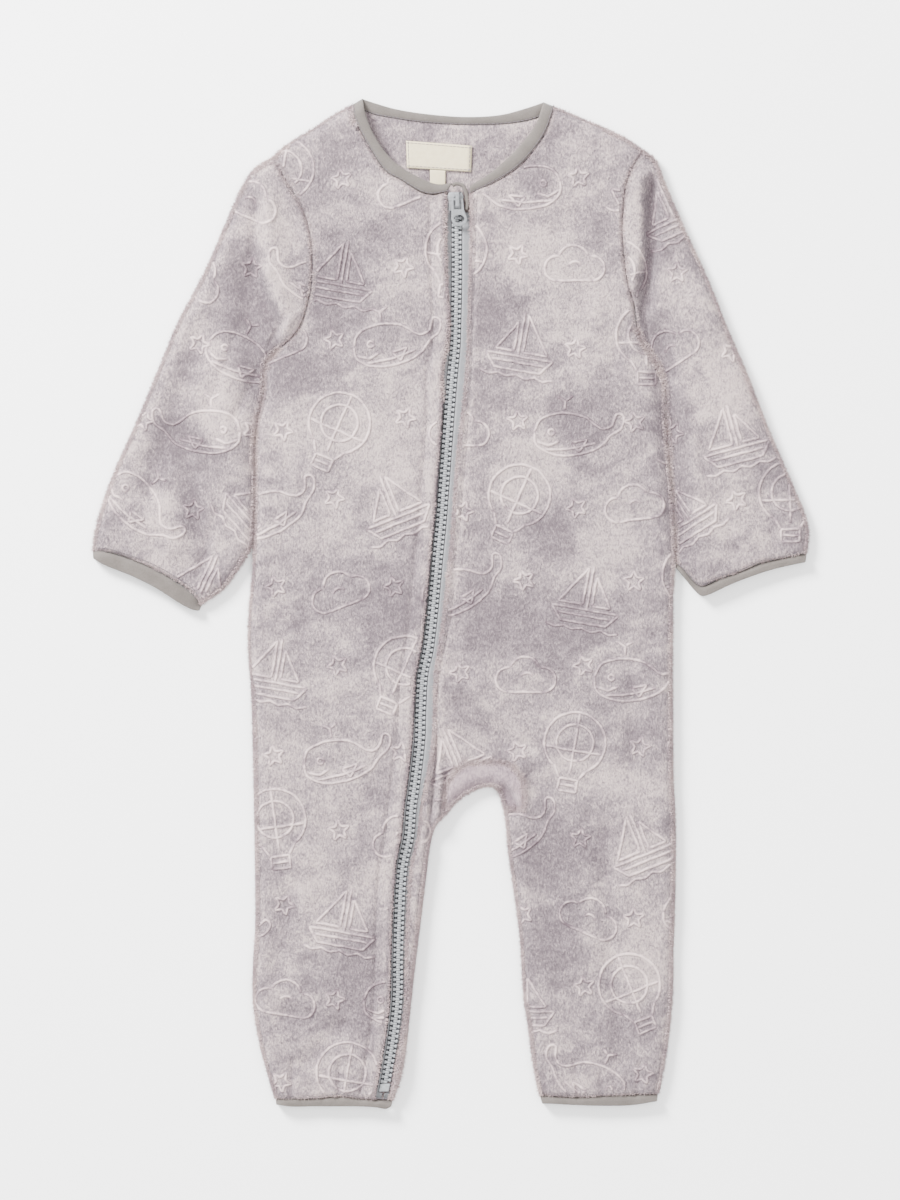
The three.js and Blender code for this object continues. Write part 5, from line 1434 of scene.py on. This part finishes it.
# Pile strands
def strand_tree():
    """Strands of pile that stand out of a band of cloth."""
    tree, given = new_tree("pile_strands", {
        "Band": "Geometry", "Per square metre": "Float", "Length": "Float", "Thickness": "Float",
        "Lean": "Float", "Seed": "Int", "Finish": "Material"})
    dots = add(tree, "GeometryNodeDistributePointsOnFaces", {
        "Mesh": given["Band"], "Density": given["Per square metre"], "Seed": given["Seed"]})
    strand = add(tree, "GeometryNodeMeshCone", {
        "Vertices": 3, "Radius Top": 0.0, "Radius Bottom": given["Thickness"], "Depth": given["Length"]},
        fill_type="NONE")
    least = add(tree, "ShaderNodeMath", {0: 0.0, 1: given["Lean"]}, operation="SUBTRACT")
    low = add(tree, "ShaderNodeCombineXYZ", {"X": least.outputs[0], "Y": least.outputs[0], "Z": 0.0})
    high = add(tree, "ShaderNodeCombineXYZ", {"X": given["Lean"], "Y": given["Lean"], "Z": 6.28})
    lean = add(tree, "FunctionNodeRandomValue", {
        0: low.outputs[0], 1: high.outputs[0], "Seed": given["Seed"]}, data_type="FLOAT_VECTOR")
    turned = add(tree, "FunctionNodeRotateEuler", {
        "Rotation": dots.outputs["Rotation"], "Rotate By": lean.outputs[0]}, space="LOCAL")
    size = add(tree, "FunctionNodeRandomValue", {2: 0.55, 3: 1.25, "Seed": 5}, data_type="FLOAT")
    return put_on_points(tree, given, dots.outputs["Points"], strand.outputs["Mesh"], turned.outputs[0],
                         size.outputs[1])


strands = strand_tree()


def pile(name, source, keep, per_mm2, length, thickness, lean, seed, finish):
    """Strands on the faces of a piece that a test keeps."""
    mesh = source.data
    centres = np.empty(len(mesh.polygons) * 3)
    normals = np.empty(len(mesh.polygons) * 3)
    mesh.polygons.foreach_get("center", centres)
    mesh.polygons.foreach_get("normal", normals)
    centres, normals = centres.reshape(-1, 3), normals.reshape(-1, 3)
    kept = keep(centres[:, :2] / MM - SHIFT, centres[:, 2] / MM, normals)
    made = bmesh.new()
    made.from_mesh(mesh)
    made.faces.ensure_lookup_table()
    bmesh.ops.delete(made, geom=[f for f, k in zip(made.faces, kept) if not k], context="FACES")
    band = bpy.data.meshes.new(name)
    made.to_mesh(band)
    made.free()
    return by_tree(linked(name, band), "strands", strands, {
        "Per square metre": per_mm2 * 1e6, "Length": length * MM, "Thickness": thickness * MM, "Lean": lean,
        "Seed": seed, "Finish": finish})


def strand_material():
    """Single polyester filaments, lighter than the mass of the pile."""
    made, tree, shader = material("fleece_filament_polyester", {
        "Roughness": 0.8, "Sheen Weight": 0.3, "Specular IOR Level": 0.2})
    tone = grain(tree, 14, 3.0)
    tree.links.new(ramp(tree, tone, [(0.3, "#867479"), (0.7, "#b5a19e")]), shader.inputs["Base Color"])
    return made


filament = strand_material()


def near_edges(points, heights, normals):
    out = (normals[:, 2] > -0.2) & (heights > 1.5)
    by_zip = distance(points, zip_edges)
    over_gap = (points[:, 0] < zip_middle(points[:, 1])) & (by_zip < 1.0) & (points[:, 1] < 130)
    near = np.minimum(distance(points, silhouette), by_zip)
    return out & (near < 2.4) & ~over_gap


def near_seams(points, heights, normals):
    out = (normals[:, 2] > 0) & (heights > 2.5)
    far = distance(points, seams)
    return out & (far > 0.8) & (far < 2.4)


def near_gusset(points, heights, normals):
    return (normals[:, 2] > 0) & (heights > 2.5) & (distance(points, gusset_seam) < 2)


fuzz = [pile("pile_gusset_seam", pieces["front_left"], near_gusset, 6, 2.4, 0.26, 1.2, 6, filament),
        pile("pile_gusset_inner", pieces["crotch_gusset"], near_gusset, 4, 1.8, 0.24, 1.2, 7, filament)]
for key in ("front_right", "front_left", "sleeve_right", "sleeve_left", "crotch_gusset"):
    fuzz.append(pile(f"pile_edge_{key}", pieces[key], near_edges, 3.2, 2.0, 0.24, 0.85, 3, filament))
    if key != "crotch_gusset":  # its own seam has its tufts above
        fuzz.append(pile(f"pile_seam_{key}", pieces[key], near_seams, 1.6, 1.7, 0.22, 1.1, 4, filament))

# Frame, floor, light and camera
SLOTS = {
    "crotch_gusset": "gusset_fleece", "neck_binding": "jersey", "cuff_binding_right": "jersey",
    "cuff_binding_left": "jersey", "hem_binding_right": "jersey", "hem_binding_left": "jersey",
    "zip_tape_right": "zip_tape", "zip_tape_left": "zip_tape", "zip_chain": "zip_teeth", "zip_stop": "zip_teeth",
    "zip_slider": "zip_metal", "pull_tab": "zip_metal", "neck_label": "label_cloth", "size_tab": "label_cloth"}
for node, piece in pieces.items():
    fit(piece, "pull_tab" if node == "pull_tab" else "garment", SLOTS.get(node, "fleece"), node)
for piece in lines + fuzz:
    fit(piece, "garment", "fleece")
for piece in stitches:
    fit(piece, "garment", "jersey")


def floor():
    mesh = bpy.data.meshes.new("floor")
    mesh.from_pydata([(-6, -6, 0), (6, -6, 0), (6, 6, 0), (-6, 6, 0)], [], [(0, 1, 2, 3)])
    piece = linked("floor", mesh)
    piece.location.z = -0.0003
    made, tree, shader = material("matt_white_board", {
        "Base Color": colour("#fafafa"), "Roughness": 0.9, "Specular IOR Level": 0.1})
    paint(piece, made)


def lamp(name, place, size, power):
    data = bpy.data.lights.new(name, "AREA")
    data.energy, data.size = power, size
    piece = linked(name, data)
    piece.location = place
    piece.rotation_euler = (-Vector(place)).to_track_quat("-Z", "Y").to_euler()


floor()
lamp("key_window", (-1.7, 1.9, 1.5), 0.9, 460)
lamp("fill_overhead", (0.6, -0.4, 2.6), 2.4, 80)
world = bpy.data.worlds.new("studio")
world.use_nodes = True
world.node_tree.nodes["Background"].inputs["Color"].default_value = (1, 1, 1, 1)
world.node_tree.nodes["Background"].inputs["Strength"].default_value = 1.72
bpy.context.scene.world = world

PHOTO_HEIGHT = 0.780  # what the photograph's long side spans at the cloth
CAMERA_HEIGHT = 3.0
camera = bpy.data.objects.new("camera", bpy.data.cameras.new("camera"))
camera.location = (0.0, 0.00214, CAMERA_HEIGHT)
camera.data.lens = 36 * (CAMERA_HEIGHT - 0.008) / PHOTO_HEIGHT
camera.data.clip_end = 50
bpy.context.scene.collection.objects.link(camera)
bpy.context.scene.camera = camera
